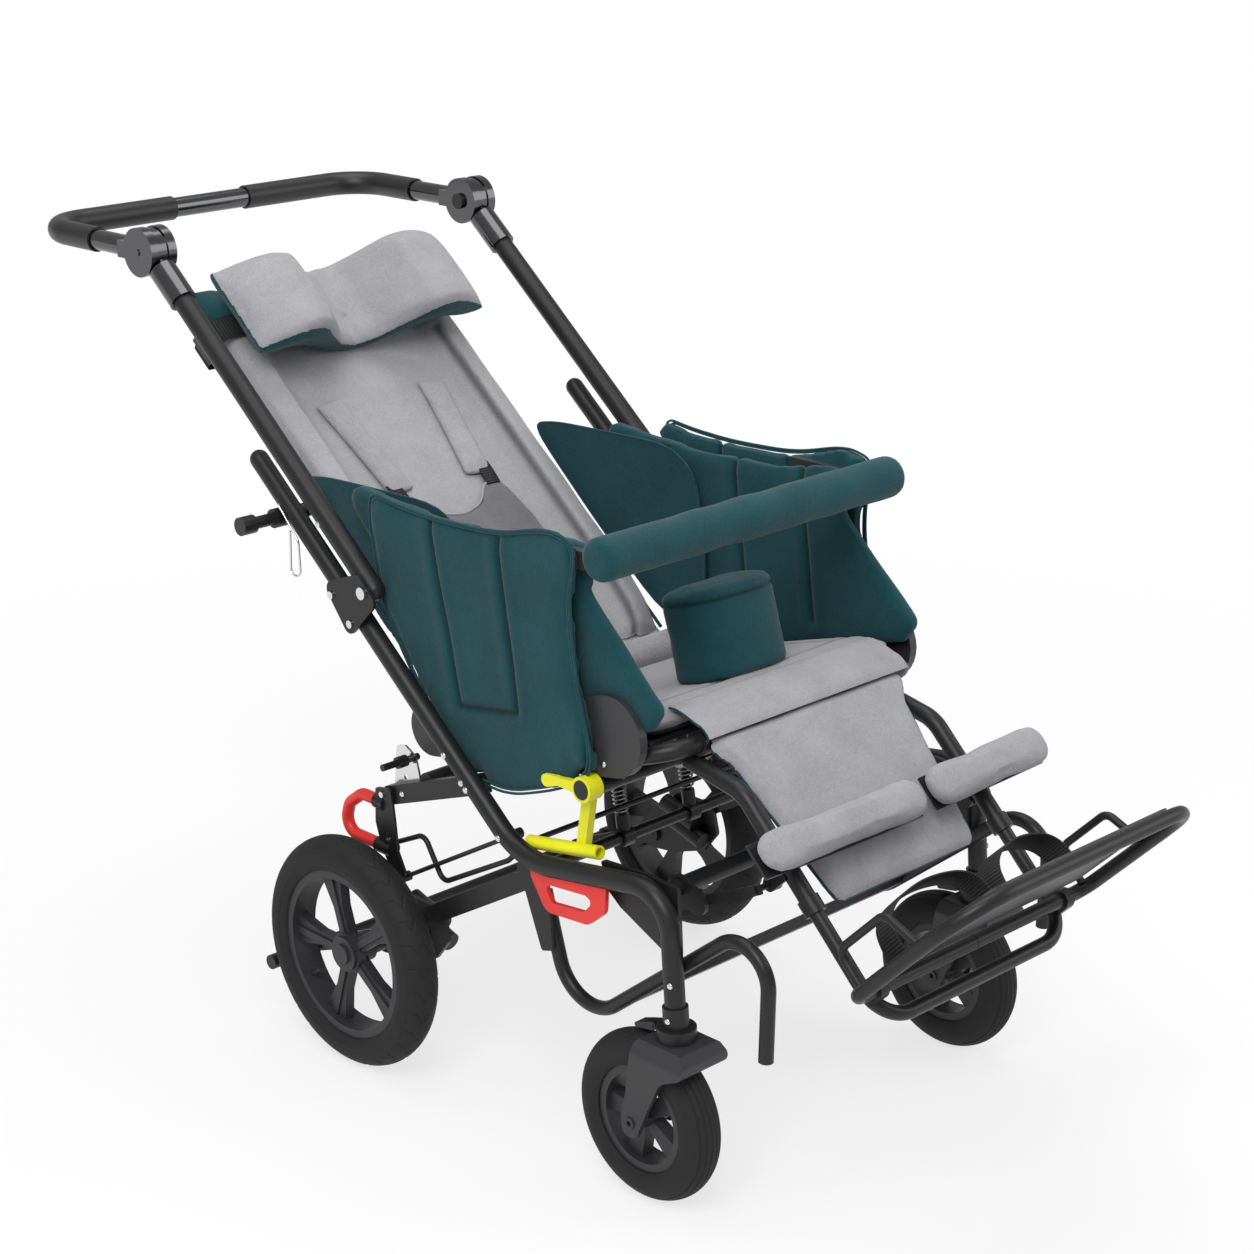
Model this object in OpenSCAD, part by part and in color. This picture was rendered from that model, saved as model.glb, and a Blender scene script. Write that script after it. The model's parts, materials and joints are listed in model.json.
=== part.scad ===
/* [Chassis] */

// Distance from the rear axle to the caster stems
wheelbase = 563; // [545:1:585]
// Height of the top ends of the side tubes
frame_height = 776; // [756:1:800]
// Half the distance between the two side tubes
half_track = 278; // [276:0.5:284]
// Distance of the rear axle behind the middle of the footprint
rear_axle_y = 132.8; // [120:0.1:150]
// Diameter of the bent side tubes
tube_d = 25; // [24:0.1:25.6]
// Radius of the rear bend of a side tube
rear_bend_r = 110; // [90:1:120]
// Radius of the front bend of a side tube
front_bend_r = 52; // [46:1:58]
// Diameter of the front support tubes
support_d = 18; // [16:0.5:18.5]
// Half the distance between the support tubes
half_support = 256; // [254:0.5:256.4]
// Bend radius where a support tube turns up
support_low_r = 60; // [50:1:70]
// Bend radius where a support tube turns down
support_top_r = 45; // [38:1:50]
// Diameter of the front and rear cross tubes
cross_d = 22; // [18:0.5:24]
// Width of a flat rail across its face
rail_h = 25; // [22:0.5:26]
// Thickness of a flat rail
rail_t = 14; // [12:0.5:14.5]
// Thickness of the steel side brackets
bracket_t = 4; // [3:0.25:4.5]
// Thickness of the red front tie-down plates
tie_t = 6; // [5:0.25:7]
// Diameter of the red rear tie-down loops
loop_d = 16; // [14:0.5:17]

/* [Rear wheels] */

// Outer radius of a rear tyre
rear_r = 156; // [152:1:160]
// Half width of a rear tyre
rear_tyre_r = 26.3; // [24:0.1:27]
// Distance of a rear wheel from the middle plane
rear_wheel_x = 307.3; // [306:0.1:310]
// Diameter of the rear spindle
spindle_d = 12; // [10:0.5:14]
// Diameter of the stepped rear hub cap
hub_cap_d = 54; // [48:1:58]
// Spokes in a rear rim
rear_spokes = 5; // [5:1:7]

/* [Casters] */

// Outer radius of a caster tyre
caster_r = 106.7; // [102:0.5:108]
// Half width of a caster tyre
caster_tyre_r = 25.1; // [22:0.1:26]
// Distance of a caster axle behind its stem
caster_trail = 44; // [40:0.5:48]
// Diameter of the caster stem
stem_d = 12; // [10:0.5:14]
// Diameter of the bearing ring
bearing_d = 48; // [44:0.5:52]
// Height of the crown of a fork
crown_z = 222.2; // [220:0.2:226]
// Diameter of a caster axle
caster_axle_d = 10; // [8:0.5:12]

/* [Push handle] */

// Diameter of the push tubes
push_d = 28; // [26:0.2:28.4]
// Distance between a push tube and the side tube below it
push_lift = 47; // [45:0.5:50]
// Length of a push tube from its pivot to the handle joint
push_l = 574; // [560:1:590]
// Diameter of the handle joint discs
disc_d = 65; // [60:0.5:68]
// Thickness through a handle joint
disc_w = 40; // [38:0.5:41]
// Outer diameter of the soft grips
grip_d = 34; // [32.5:0.1:36]
// Diameter of the handle tube
handle_d = 28; // [26:0.2:28.4]
// Distance from the handle joint back to the crossbar
handle_reach = 255.7; // [245:0.5:265]
// Corner radius of the handle
handle_r = 62; // [55:1:70]

/* [Seat] */

// Tilt of the seat in degrees
seat_tilt = 16.5; // [15.5:0.1:17.5]
// Length of the seat cushion
seat_l = 350; // [340:1:356]
// Half width of the seat cushion
seat_half = 214; // [205:0.5:214.5]
// Thickness of the seat cushion
seat_pad_t = 32; // [28:0.5:32.2]
// Thickness of the seat board
board_t = 5.7; // [5:0.1:6]
// Diameter of the seat rails
seat_rail_d = 22; // [20:0.2:22.4]
// Corner radius of the seat rails
seat_rail_r = 50; // [44:1:56]
// Thickness of the side plates
plate_t = 12; // [10:0.25:12.2]
// Thickness of the fabric side panels
panel_t = 13; // [10:0.25:13.2]
// Thickness of the inner flaps
flap_t = 17; // [14:0.25:17.4]
// Half length of the padded bar
bar_half = 262; // [255:0.5:268]
// Diameter of the padded bar
bar_d = 55; // [50:0.5:57]
// Width of the pommel
pommel_w = 150; // [130:1:156]
// Depth of the pommel
pommel_deep = 100; // [86:1:104]
// Height of the pommel
pommel_h = 116; // [100:1:120]

/* [Back] */

// Angle of the back to the floor in degrees
back_angle = 39.9; // [39:0.1:41]
// Length of the back
back_l = 760; // [740:1:775]
// Half width of the back
back_half = 200; // [190:0.5:200.5]
// Thickness of the whole back
back_t = 55; // [52:0.5:57]
// Depth of the hollow between the side bolsters
hollow_t = 26; // [22:0.5:28]
// Length of the headrest along the back
head_l = 148; // [135:1:155]
// Half width of the headrest
head_half = 199; // [188:0.5:199.5]

/* [Legrest] */

// Slope of the legrest in degrees
leg_slope = 45; // [44:0.25:46]
// Length of the calf panel
leg_panel_l = 244; // [230:1:250]
// Half width of the calf panel at its top
leg_top_half = 174; // [165:0.5:175]
// Half width of the calf panel at its bottom
leg_low_half = 130; // [120:0.5:134]
// Diameter of the legrest hangers
hanger_d = 22; // [21:0.1:23]
// Diameter of the sliding foot tubes
foot_tube_d = 18; // [16:0.2:18.6]
// Half the distance between the legrest hangers
half_hanger = 171; // [170:0.5:172]
// Half width of the footplate frame
foot_half = 215; // [210:0.5:220]
// Length of the footplate frame
foot_l = 226; // [215:1:232]
// Diameter of the footplate frame
foot_d = 18; // [16:0.25:18.5]

/* [Fits] */

// Gap between parts that are seated on each other
seat_gap = 0.3; // [0.25:0.01:0.4]
// Running clearance around a pin
run_gap = 0.05; // [0.04:0.01:0.08]
// Clearance around soft parts
soft_gap = 0.5; // [0.4:0.05:0.8]
// Diameter of the main bolts
bolt_d = 8; // [7:0.25:8.5]
// Height of a bolt head
bolt_h = 4; // [3:0.25:5]
// Unit of the small details
small = 1; // [0.98:0.01:1.02]

/* [Hidden] */

corner_steps = 5;
seam_l = 1;
seam_step = 0.1;
seam_open = 0.4;
stub_top_share = [-0.3339, 1];
rear_corner_share = [0.5364, 0.4716];
front_corner_share = [0.9787, 0.5206];
support_top_share = [0.5648, 0.4188];
support_low_share = [0.6536, 0.2023];
support_front_share = [1.2256, 0.5296];
support_foot_share = [1.2149, 0.2938];
front_cross_share = [0.897, 0.4832];
low_cross_share = [0.7993, 0.2857];
rear_cross_share = [0.1634, 0.518];
damper_bar_share = [0.4529, 0.4098];
upper_rail_shares = [[0.0533, 0.4755], [0.3819, 0.5619]];
lower_rail_shares = [[0.5293, 0.4341], [0.1687, 0.2817]];
strut_shares = [[0.0995, 0.3389], [0.4849, 0.4987]];
gusset_shares = [[0.7549, 0.5155], [0.7798, 0.4691], [0.8135, 0.451], [0.9591, 0.4021], [0.9876, 0.4124], [0.9805, 0.518], [0.8881, 0.5219]];
tie_shares = [[0.5684, 0.4523], [0.6146, 0.4034], [0.7442, 0.4111], [0.7957, 0.442]];
tie_hole_shares = [[0.6075, 0.4497], [0.6341, 0.4227], [0.7318, 0.4304], [0.7602, 0.4523], [0.7371, 0.4588]];
hinge_shares = [[-0.0782, 0.8325], [0.0107, 0.7526], [0.1101, 0.8247], [0.0462, 0.866]];
hinge_bolt_shares = [[-0.048, 0.8157], [0.016, 0.7771]];
link_shares = [[0.0249, 0.4871], [0.0213, 0.4253], [0.0391, 0.3866], [0.0782, 0.3376], [0.1243, 0.3479], [0.0959, 0.3866], [0.0888, 0.4381], [0.0782, 0.4948]];
bracket_shares = [[0.5151, 0.4794], [0.5027, 0.4446], [0.5293, 0.4149], [0.579, 0.3247], [0.6146, 0.3325], [0.6004, 0.4253], [0.6128, 0.4897]];
loop_shares = [[0.0172, 0.4613], [-0.0355, 0.4613], [-0.0835, 0.4356], [-0.1066, 0.3827], [0.0172, 0.3827]];
red_socket_shares = [[0.0515, 0.4613], [0.0178, 0.4613], [0.071, 0.3827], [0.0178, 0.3827]];
chrome_plate_shares = [[0.0639, 0.5619], [0.0924, 0.567], [0.1279, 0.5541], [0.1403, 0.5206], [0.1368, 0.4923], [0.0497, 0.4794]];
basket_shares = [[0.0391, 0.3827], [0.151, 0.4214], [0.2131, 0.3505], [0.4352, 0.4381], [0.508, 0.4871]];
plunger_share = [0.1083, 0.5464];
knob_share = [-0.2593, 0.9124];
arm_shares = [[-0.0426, 0.2165], [-0.0178, 0.2371], [0.0888, 0.299], [0.206, 0.299], [0.2238, 0.2448], [0.1776, 0.2036], [0.071, 0.1778], [-0.0178, 0.1701], [-0.0426, 0.1881]];
arm_tube_shares = [[0.0639, 0.2822], [0.1723, 0.2577], [0.087, 0.2552], [0.1954, 0.2307]];
seat_share = [0.2309, 0.6198];
yoke_share = [0.7069, 0.6211];
yellow_shares = [[0.5293, 0.4961], [0.7478, 0.5245]];
paddle_shares = [[0.5968, 0.6147], [0.6288, 0.6198]];
lever_shares = [[0.6377, 0.5902], [0.7265, 0.5902], [0.6803, 0.6031]];
leg_share = [0.897, 0.7216];
keeper_share = [0.9503, 0.4691];
bar_share = [0.7389, 0.9845];
panel_shares = [[0.0036, 0.9936], [0.1155, 0.9832], [0.2487, 0.9794], [0.4423, 0.9858], [0.6039, 1.0168], [0.6874, 1.0026], [0.6607, 0.9021],
  [0.6821, 0.7861], [0.7371, 0.6443], [0.6146, 0.5966], [0.4618, 0.5567], [0.3233, 0.5619], [0.1599, 0.6894], [0.0462, 0.8106]];
flap_shares = [[0.6874, 0.9923], [0.6643, 0.9175], [0.7709, 0.8428], [0.8863, 0.7616], [0.849, 0.7216], [0.5861, 0.6662],
  [0.3197, 0.6095], [0.2664, 0.6598], [0.1066, 0.7732], [-0.071, 0.9021], [-0.1599, 0.9794], [-0.0355, 0.9794], [0.1776, 0.9691], [0.4423, 0.9755], [0.6039, 0.9987]];
pin_share = [0.1723, 0.6091];
clip_share = [-0.2345, 0.9397];
tube_in = half_track - tube_d / 2;
rail_out = tube_in - seat_gap;
rail_in = rail_out - rail_t;
rail_x = rail_out - rail_t / 2;
push_in = half_track - push_d / 2;
panel_out = tube_in - 5 * small;
panel_in = panel_out - panel_t;
plate_out = panel_in - soft_gap;
plate_in = plate_out - plate_t;
flap_out = plate_in - seat_gap;
flap_in = flap_out - flap_t;
stem_y = rear_axle_y - wheelbase;
push_dir = unit([cos(back_angle), sin(back_angle)]);
stub_top = spot(stub_top_share);
pivot = spot(rear_corner_share) + (stub_top - spot(rear_corner_share)) * 0.604
  + push_lift * [-sin(back_angle), cos(back_angle)];
head_z = crown_z + seat_gap;
head_ring_h = 15.5 * small;
head_sleeve_h = 40 * small;
front_corner = spot(front_corner_share);
stem_foot = [stem_y, head_z + head_ring_h];
leg_dir = unit(front_corner - stem_foot);
tube_foot = stem_foot + leg_dir * 4 * small;
side_path = [in3(half_track, stub_top), in3(half_track, spot(rear_corner_share)),
             in3(half_track, front_corner), in3(half_track, tube_foot)];
side_radii = [rear_bend_r, front_bend_r];
support_path = [at(half_support, support_top_share), at(half_support, support_low_share),
                at(half_support, support_front_share), at(half_support, support_foot_share)];
foot_bore = 40 * small;
damper_bar_d = 16 * small;
gusset_in = tube_in - seat_gap - tie_t;
strut_h = 12 * small;
strut_t = 5 * small;
strut_x = 208 * small;
guide_d = 6 * small;
guide_play = 2.4 * small;
strut_rod_d = 6 * small;
hinge_x = half_track + push_d / 2 + seat_gap;
link_x = rail_out + 2 * small;
loop_x = link_x - 2 * small;
knob_rod_d = 16 * small;
run_dir = unit(front_corner - spot(rear_corner_share));
run_up = [run_dir[1], -run_dir[0]];
run_start = bend_end(stub_top, spot(rear_corner_share), front_corner, rear_bend_r);
bend_at = run_start + rear_bend_r * run_up;
tie_low = tube_d / 2 + seat_gap + tie_t * 0.06;
tie_span = 98 * small;
tie_top = concat([run_start + run_dir * tie_span - run_up * tie_low],
  [for (k = [0:4]) bend_at - (rear_bend_r + tie_low) * rot2(run_up, 4 * k)]);
arm_t = 6 * small;
arm_x = rail_in - seat_gap - arm_t;
axle_share = 0.201;
arm_outline = [for (s = arm_shares) [rear_axle_y - s[0] * wheelbase, rear_r + (s[1] - axle_share) * frame_height]];
pedal_t = 5 * small;
pedal_pin_d = 14 * small;
hub_half = 24 * small;
hub_out = 20 * small;
rear_hub_in = rear_wheel_x - hub_half;
damper_x = 60 * small;
damper_low = spot(damper_bar_share);
damper_body_d = 18 * small;
spring_wire = 2.8 * small;
spring_d = 20 * small;
spring_l = 36 * small;
spring_turns = 6;
seat_bar_d = 14 * small;
basket_d = 7 * small;
basket_x = loop_x - loop_d / 2 - 2.5 * small - seat_gap - basket_d / 2;
lock_reach = 31 * small;
lock_lug_h = 11 * small;
lock_half = 9 * small;
lock_pin_d = 4 * small;
lock_at = [stem_y + lock_reach, head_z + small + lock_lug_h / 2];
fork_in = caster_tyre_r + 2.5 * small;
fork_leg = 6 * small;
axle_at = [caster_trail, caster_r];
fork_side = [[31, -18.7], [57, -18.7], [59, 5.3], [34, 115.5], [-36, 115.5], [-46, 103], [-44, 89], [-8, 71], [12, 33], [30, -6.7]];
fork_radii = [12, 12, 20, 9, 8, 7, 10, 26, 40, 20];
caster_rim_r = 67 * small;
caster_rim_half = 18 * small;
rear_rim_r = 114 * small;
rear_rim_half = 19 * small;
pedal_reach = 160 * small;
pedal_drop = 66 * small;
joint_at = pivot + push_dir * push_l;
socket_low = push_l - 89 * small;
socket_d = push_d + 9 * small;
socket_high = push_l - disc_d / 2 - small;
knuckle_w = 14 * small;
bar_z = joint_at[1];
bar_y = joint_at[0] + handle_reach;
disc_side = (disc_w - knuckle_w) / 2 - seat_gap;
disc_outer = half_track + disc_w / 2;
disc_inner = half_track - disc_w / 2;
handle_path = [[half_track, joint_at[0] + disc_d / 2 - small, bar_z], [half_track, bar_y, bar_z],
               [-half_track, bar_y, bar_z], [-half_track, joint_at[0] + disc_d / 2 - small, bar_z]];
button_d = 22 * small;
button_l = 11 * small;
grip_offset = 90 * small;
handle_gap = 64 * small;
plunger_d = 9 * small;
clip_d = 3 * small;
knob_travel = 11.5 * small;
seat_at_p = spot(seat_share);
rail_depth = seat_pad_t + seat_gap + 4.2 * small + seat_rail_d / 2;
damper_top = seat_point(90 * small, rail_depth + 2 * small);
damper_len = norm(damper_top - damper_low);
rail_x_seat = plate_in - seat_gap - seat_rail_d / 2;
front_s = seat_l + 15 * small;
yoke = spot(yoke_share);
yoke_d = 24 * small;
yoke_s = (seat_at_p[0] - yoke[0]) * cos(seat_tilt) + (yoke[1] - seat_at_p[1]) * sin(seat_tilt);
yoke_deep = (seat_at_p[0] - yoke[0]) * sin(seat_tilt) + (seat_at_p[1] - yoke[1]) * cos(seat_tilt);
pommel_s = 274 * small;
post_s = pommel_s + 18 * small;
post_w = 40 * small;
post_t = 12 * small;
board_half = seat_half + 7 * small;
half_yoke = panel_out + 10 * small;
pin_at = spot(pin_share);
pin_d = 12 * small;
bar_at = spot(bar_share);
post_y = bar_at[0] + 72 * small;
arm_z = bar_at[1] - 10 * small;
arm_back = bar_at[0] + 34 * small;
socket_l = 120 * small;
arm_w = 6 * small;
arm_h = 14 * small;
pommel_foot = 1.2 * small;
post_len = rail_depth + 22 * small;
pad_t = 36 * small;
pad_low = 44 * small;
pin_rel = pin_at - seat_at_p;
pin_local = [pin_rel[0] * sin(back_angle) - pin_rel[1] * cos(back_angle), pin_rel[0] * cos(back_angle) + pin_rel[1] * sin(back_angle)];
pad_xs = [-1, -0.97, -0.9, -0.8, -0.76, -0.71, -0.66, -0.6, -0.3, 0,
          0.3, 0.6, 0.66, 0.71, 0.76, 0.8, 0.9, 0.97, 1];
pad_crown = 0.8 * small;
face_y = hollow_t - seat_gap;
head_low = 588 * small;
head_front_y = 52.1 * small;
head_shear = 0.25;
head_crown = 2 * small;
head_xs = [-1, -0.97, -0.9, -0.8, -0.68, -0.57, -0.45, -0.3, -0.15, 0, 0.15, 0.3, 0.45, 0.57, 0.68, 0.8, 0.9, 0.97, 1];
leg_p = spot(leg_share);
hinge_p = seat_point(front_s, rail_depth);
hinge_rel = hinge_p - leg_p;
hinge_l = hinge_rel[0] * sin(leg_slope) + hinge_rel[1] * cos(leg_slope);
hinge_n = -(hinge_rel[0] * cos(leg_slope) - hinge_rel[1] * sin(leg_slope));
hanger_top = [-13, -50] * small;
hanger_mid = [-88, 0] * small;
hanger_low = [-250, 0] * small;
sleeve_x0 = half_hanger - 23 * small;
sleeve_x1 = half_hanger + 1.5 * small;
strut_pin_l = -191.6 * small;
strut_pin_n = -29 * small;
strut_pin = leg_point(strut_pin_l, strut_pin_n);
calf_l = -178 * small;
calf_n = 26 * small;
calf_h = 28 * small;
calf_right_end = 38 * small;
calf_left_end = 52 * small;
calf_half = 254 * small;
strut_lug_y = -strut_pin_n;
calf_shell_t = 4 * small;
leg_mid_half = half_hanger - hanger_d / 2 - 2 * soft_gap;
leg_panel_t = 20 * small;
panel_us = [-1, -0.985, -0.94, -0.85, -0.6, -0.3, 0, 0.3, 0.6, 0.85, 0.94, 0.985, 1];
calf_t = 30 * small;
strut_tail = 124 * small;
calf_bow = 16 * small;
calf_arm = calf_n + calf_curve(half_hanger);
plate_l = -359 * small;
foot_axis_n = 21 * small;
foot_cross_l = -395 * small;
hoop_x = foot_half - 12 * small;
hoop_d = 10 * small;
strap_w = 38 * small;
yellow_x = half_track - 16 * small;
yellow_d = 17 * small;
yellow_in = plate_out + soft_gap;
yellow_len = panel_out - panel_in;
$fn = 48;

// Bend helpers
function unit(v) = v / norm(v);
function turn(a, b, c) = acos(unit(b - a) * unit(c - b));
function bend_start(a, b, c, r) = b - unit(b - a) * r * tan(turn(a, b, c) / 2);
function bend_end(a, b, c, r) = b + unit(c - b) * r * tan(turn(a, b, c) / 2);

// Rounded outlines
function arc_corner(a, b, c, r) = r == 0 ? [b] :
  let (u = unit(b - a), w = unit(c - b), t = turn(a, b, c), side = sign(cross(u, w)),
       inward = side * [-u[1], u[0]], o = b - u * r * tan(t / 2) + inward * r,
       g = atan2(-inward[1], -inward[0]))
  [for (k = [0:corner_steps]) o + r * [cos(g + side * t * k / corner_steps), sin(g + side * t * k / corner_steps)]];
function soft_corners(p, r) =
  [for (i = [0:len(p) - 1])
    each arc_corner(p[(i + len(p) - 1) % len(p)], p[i], p[(i + 1) % len(p)], is_list(r) ? r[i] : r)];
function capsule(a, ra, b, rb, n) =
  let (v = b - a, g = atan2(v[1], v[0]), t = acos((ra - rb) / norm(v)))
  concat([for (k = [0:n]) a + ra * [cos(g + t + (360 - 2 * t) * k / n), sin(g + t + (360 - 2 * t) * k / n)]],
         [for (k = [0:n]) b + rb * [cos(g - t + 2 * t * k / n), sin(g - t + 2 * t * k / n)]]);

// Chassis places as shares of the wheelbase and the frame height
function spot(s) = [rear_axle_y - s[0] * wheelbase, s[1] * frame_height];
function at(x, s) = [x, rear_axle_y - s[0] * wheelbase, s[1] * frame_height];
function spots(t) = [for (s = t) spot(s)];

// Lateral stack from the side tube inwards

module both() {
  children();
  mirror([1, 0, 0]) children();
}
// Flat piece in the side view from x over a thickness
module side_cut(x, t) translate([x, 0, 0]) rotate([90, 0, 90]) linear_extrude(t) children();
module front_cut(y, t) translate([0, y + t, 0]) rotate([90, 0, 0]) linear_extrude(t) children();
module cross_rod(p, x0, x1, d) translate([x0, p[0], p[1]]) rotate([0, 90, 0]) cylinder(h = x1 - x0, d = d);
module rod(a, b, d) {
  v = b - a;
  translate(a) rotate([0, acos(v.z / norm(v)), atan2(v.y, v.x)]) cylinder(h = norm(v), d = d);
}
// Flat bar between two side view points
module flat_bar(a, b, x, h, t, over = 0) {
  v = b - a;
  translate([x, a[0], a[1]]) rotate([atan2(v[1], v[0]), 0, 0])
    translate([-t / 2, -over, -h / 2]) cube([t, norm(v) + 2 * over, h]);
}
module seam(p, v, d) rod(p - unit(v) * seam_l / 2, p + unit(v) * seam_l / 2, d + seam_step);
module elbow(a, b, c, r, d) {
  u = unit(b - a);
  w = unit(c - b);
  start = bend_start(a, b, c, r);
  inward = unit(w - u * (u * w));
  o = start + inward * r;
  n = cross(-inward, u);
  skip = seam_open / 2 / r * 180 / PI;
  multmatrix([[-inward.x, u.x, n.x, o.x], [-inward.y, u.y, n.y, o.y], [-inward.z, u.z, n.z, o.z]])
    rotate([0, 0, skip]) rotate_extrude(angle = turn(a, b, c) - 2 * skip) translate([r, 0]) circle(d = d);
  seam(start, u, d);
  seam(bend_end(a, b, c, r), w, d);
}
module bent_tube(p, r, d) {
  last = len(p) - 1;
  for (i = [0:last - 1]) {
    v = unit(p[i + 1] - p[i]) * seam_open / 2;
    rod(i == 0 ? p[0] : bend_end(p[i - 1], p[i], p[i + 1], r[i - 1]) + v,
        i == last - 1 ? p[last] : bend_start(p[i], p[i + 1], p[i + 2], r[i]) - v, d);
  }
  for (i = [1:last - 1])
    elbow(p[i - 1], p[i], p[i + 1], r[i - 1], d);
}

// Side paths shared by the frame parts
function in3(x, p) = [x, p[0], p[1]];

module side_tubes() color("#26272a") both() difference() {
  union() {
    bent_tube(side_path, side_radii, tube_d);
    translate(side_path[0]) sphere(d = tube_d - seam_step, $fn = 48);
  }
  cross_rod(spot(clip_share), half_track, half_track + tube_d, clip_d + 2 * run_gap);
}
module support_tubes() color("#26272a") both() difference() {
  bent_tube(support_path, [support_low_r, support_top_r], support_d);
  translate(support_path[3] - [0, 0, seam_l]) cylinder(h = foot_bore, d = support_d * 0.76);
}

module cross_tubes() color("#2b2c2f") {
  f = spot(front_cross_share);
  cross_rod(f, -gusset_in + seat_gap, gusset_in - seat_gap, cross_d);
  cross_rod(f, -half_track / 3, half_track / 3, cross_d * 1.18);
  r = spot(rear_cross_share);
  cross_rod(r, -rail_in + seat_gap, rail_in - seat_gap, cross_d);
  d = spot(damper_bar_share);
  cross_rod(d, -rail_in + seat_gap, rail_in - seat_gap, damper_bar_d);
  low = spot(low_cross_share);
  slope = spot(support_front_share) - spot(support_low_share);
  low_half = half_support - support_d / 2 - seat_gap;
  translate([0, low[0], low[1]]) rotate([atan2(slope[1], slope[0]), 0, 0])
    translate([-low_half, -rail_h / 2, -rail_t / 2]) cube([2 * low_half, rail_h, rail_t]);
  both() keeper();
}
// Open keeper that guides the rear end of a leg strut
module keeper() {
  k = spot(keeper_share);
  f = spot(front_cross_share);
  b = strut_pin;
  mid = unit(k - b);
  n = [-mid[1], mid[0]];
  off = strut_h / 2 + guide_d / 2 + guide_play;
  x0 = strut_x + strut_t / 2 + seat_gap + small;
  difference() {
    side_cut(x0, tie_t) polygon(capsule(f, cross_d * 0.75, k, off + guide_d * 0.7, 12));
  }
  for (s = [-1, 1])
    cross_rod(k + s * n * off, x0 - strut_t - 3 * small, x0 + small, guide_d);
}

module rear_rails() color("#26272a") both() {
  u = spots(upper_rail_shares);
  flat_bar(u[0], u[1], rail_x, rail_h, rail_t);
  l = spots(lower_rail_shares);
  flat_bar(l[0], l[1], rail_x, rail_h, rail_t);
  s = spots(strut_shares);
  rod(in3(rail_x, s[0]), in3(rail_x, s[1]), strut_rod_d);
  for (p = s)
    cross_rod(p, rail_x - strut_rod_d * 0.7, rail_out, strut_rod_d * 2.2);
}

module frame_plates() color("#232427") both() {
  // Gusset in the front bend
  side_cut(gusset_in, tie_t) polygon(soft_corners(spots(gusset_shares), 3 * small));
  // Outer plate of the folding hinge with its spacers
  side_cut(hinge_x, bracket_t) difference() {
    polygon(soft_corners(spots(hinge_shares), 12 * small));
    translate(pivot) circle(d = bolt_d + 2 * seat_gap);
  }
  for (s = spots(hinge_bolt_shares))
    cross_rod(s, half_track + tube_d / 2 + seat_gap, hinge_x + small, bolt_d * 1.4);
  // Rear link with the sockets of the tie-down loop
  side_cut(link_x, bracket_t) polygon(soft_corners(spots(link_shares), 5 * small));
  q = spots(red_socket_shares);
  for (i = [0, 2])
    rod(in3(loop_x, q[i]), in3(loop_x, q[i + 1]), loop_d + 5 * small);
  // Bracket that joins the support tube and the lower rail to the side tube
  difference() {
    side_cut(link_x, bracket_t) polygon(soft_corners(spots(bracket_shares), 4 * small));
    bent_tube(side_path, side_radii, tube_d + 2 * seat_gap);
  }
  l = spots(lower_rail_shares);
  cross_rod(l[0] + unit(l[1] - l[0]) * rail_h / 3, rail_out + seat_gap, link_x + small, rail_t);
  // Guide sleeve of the recline knob
  k = spot(knob_share);
  difference() {
    cross_rod(k, half_track - tube_d * 0.6, half_track + tube_d * 0.6, knob_rod_d + 9 * small);
    cross_rod(k, half_track - tube_d, half_track + tube_d, knob_rod_d + 2 * run_gap);
    rod(side_path[0], side_path[1], tube_d + 2 * seat_gap);
  }
}

// Top edge of a tie-down plate, a seat gap below the side tube
function rot2(v, g) = [v[0] * cos(g) - v[1] * sin(g), v[0] * sin(g) + v[1] * cos(g)];
module tie_downs() color("#e0483f") both() {
  side_cut(half_track - tie_t / 2, tie_t) difference() {
    polygon(concat([for (i = [1:4]) tie_top[i]], soft_corners(concat([tie_top[5]], spots(tie_shares), [tie_top[0]]), [0, 9, 16, 16, 14, 0] * small)));
    polygon(soft_corners(spots(tie_hole_shares), 6 * small));
  }
  p = spots(loop_shares);
  bent_tube([for (q = p) in3(loop_x, q)], [20, 20, 20] * small, loop_d);
}

module rear_arms() color("#232427") both() {
  t = spots(arm_tube_shares);
  side_cut(arm_x, arm_t) difference() {
    polygon(soft_corners(arm_outline, 8 * small));
    translate(t[0] * 0.3 + t[3] * 0.7) circle(d = bolt_d);
  }
  for (i = [0, 2])
    rod(in3(arm_x - 12 * small, t[i]), in3(arm_x - 12 * small, t[i + 1]), tube_d);
  cross_rod([rear_axle_y, rear_r], arm_x - pedal_t - 2 * seat_gap, arm_x + 2 * small, pedal_pin_d);
  cross_rod([rear_axle_y, rear_r], arm_x + small, rear_hub_in - seat_gap, spindle_d * 2.4);
  cross_rod([rear_axle_y, rear_r], arm_x + 2 * small, rear_wheel_x + hub_out - 2 * small, spindle_d);
}

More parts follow.
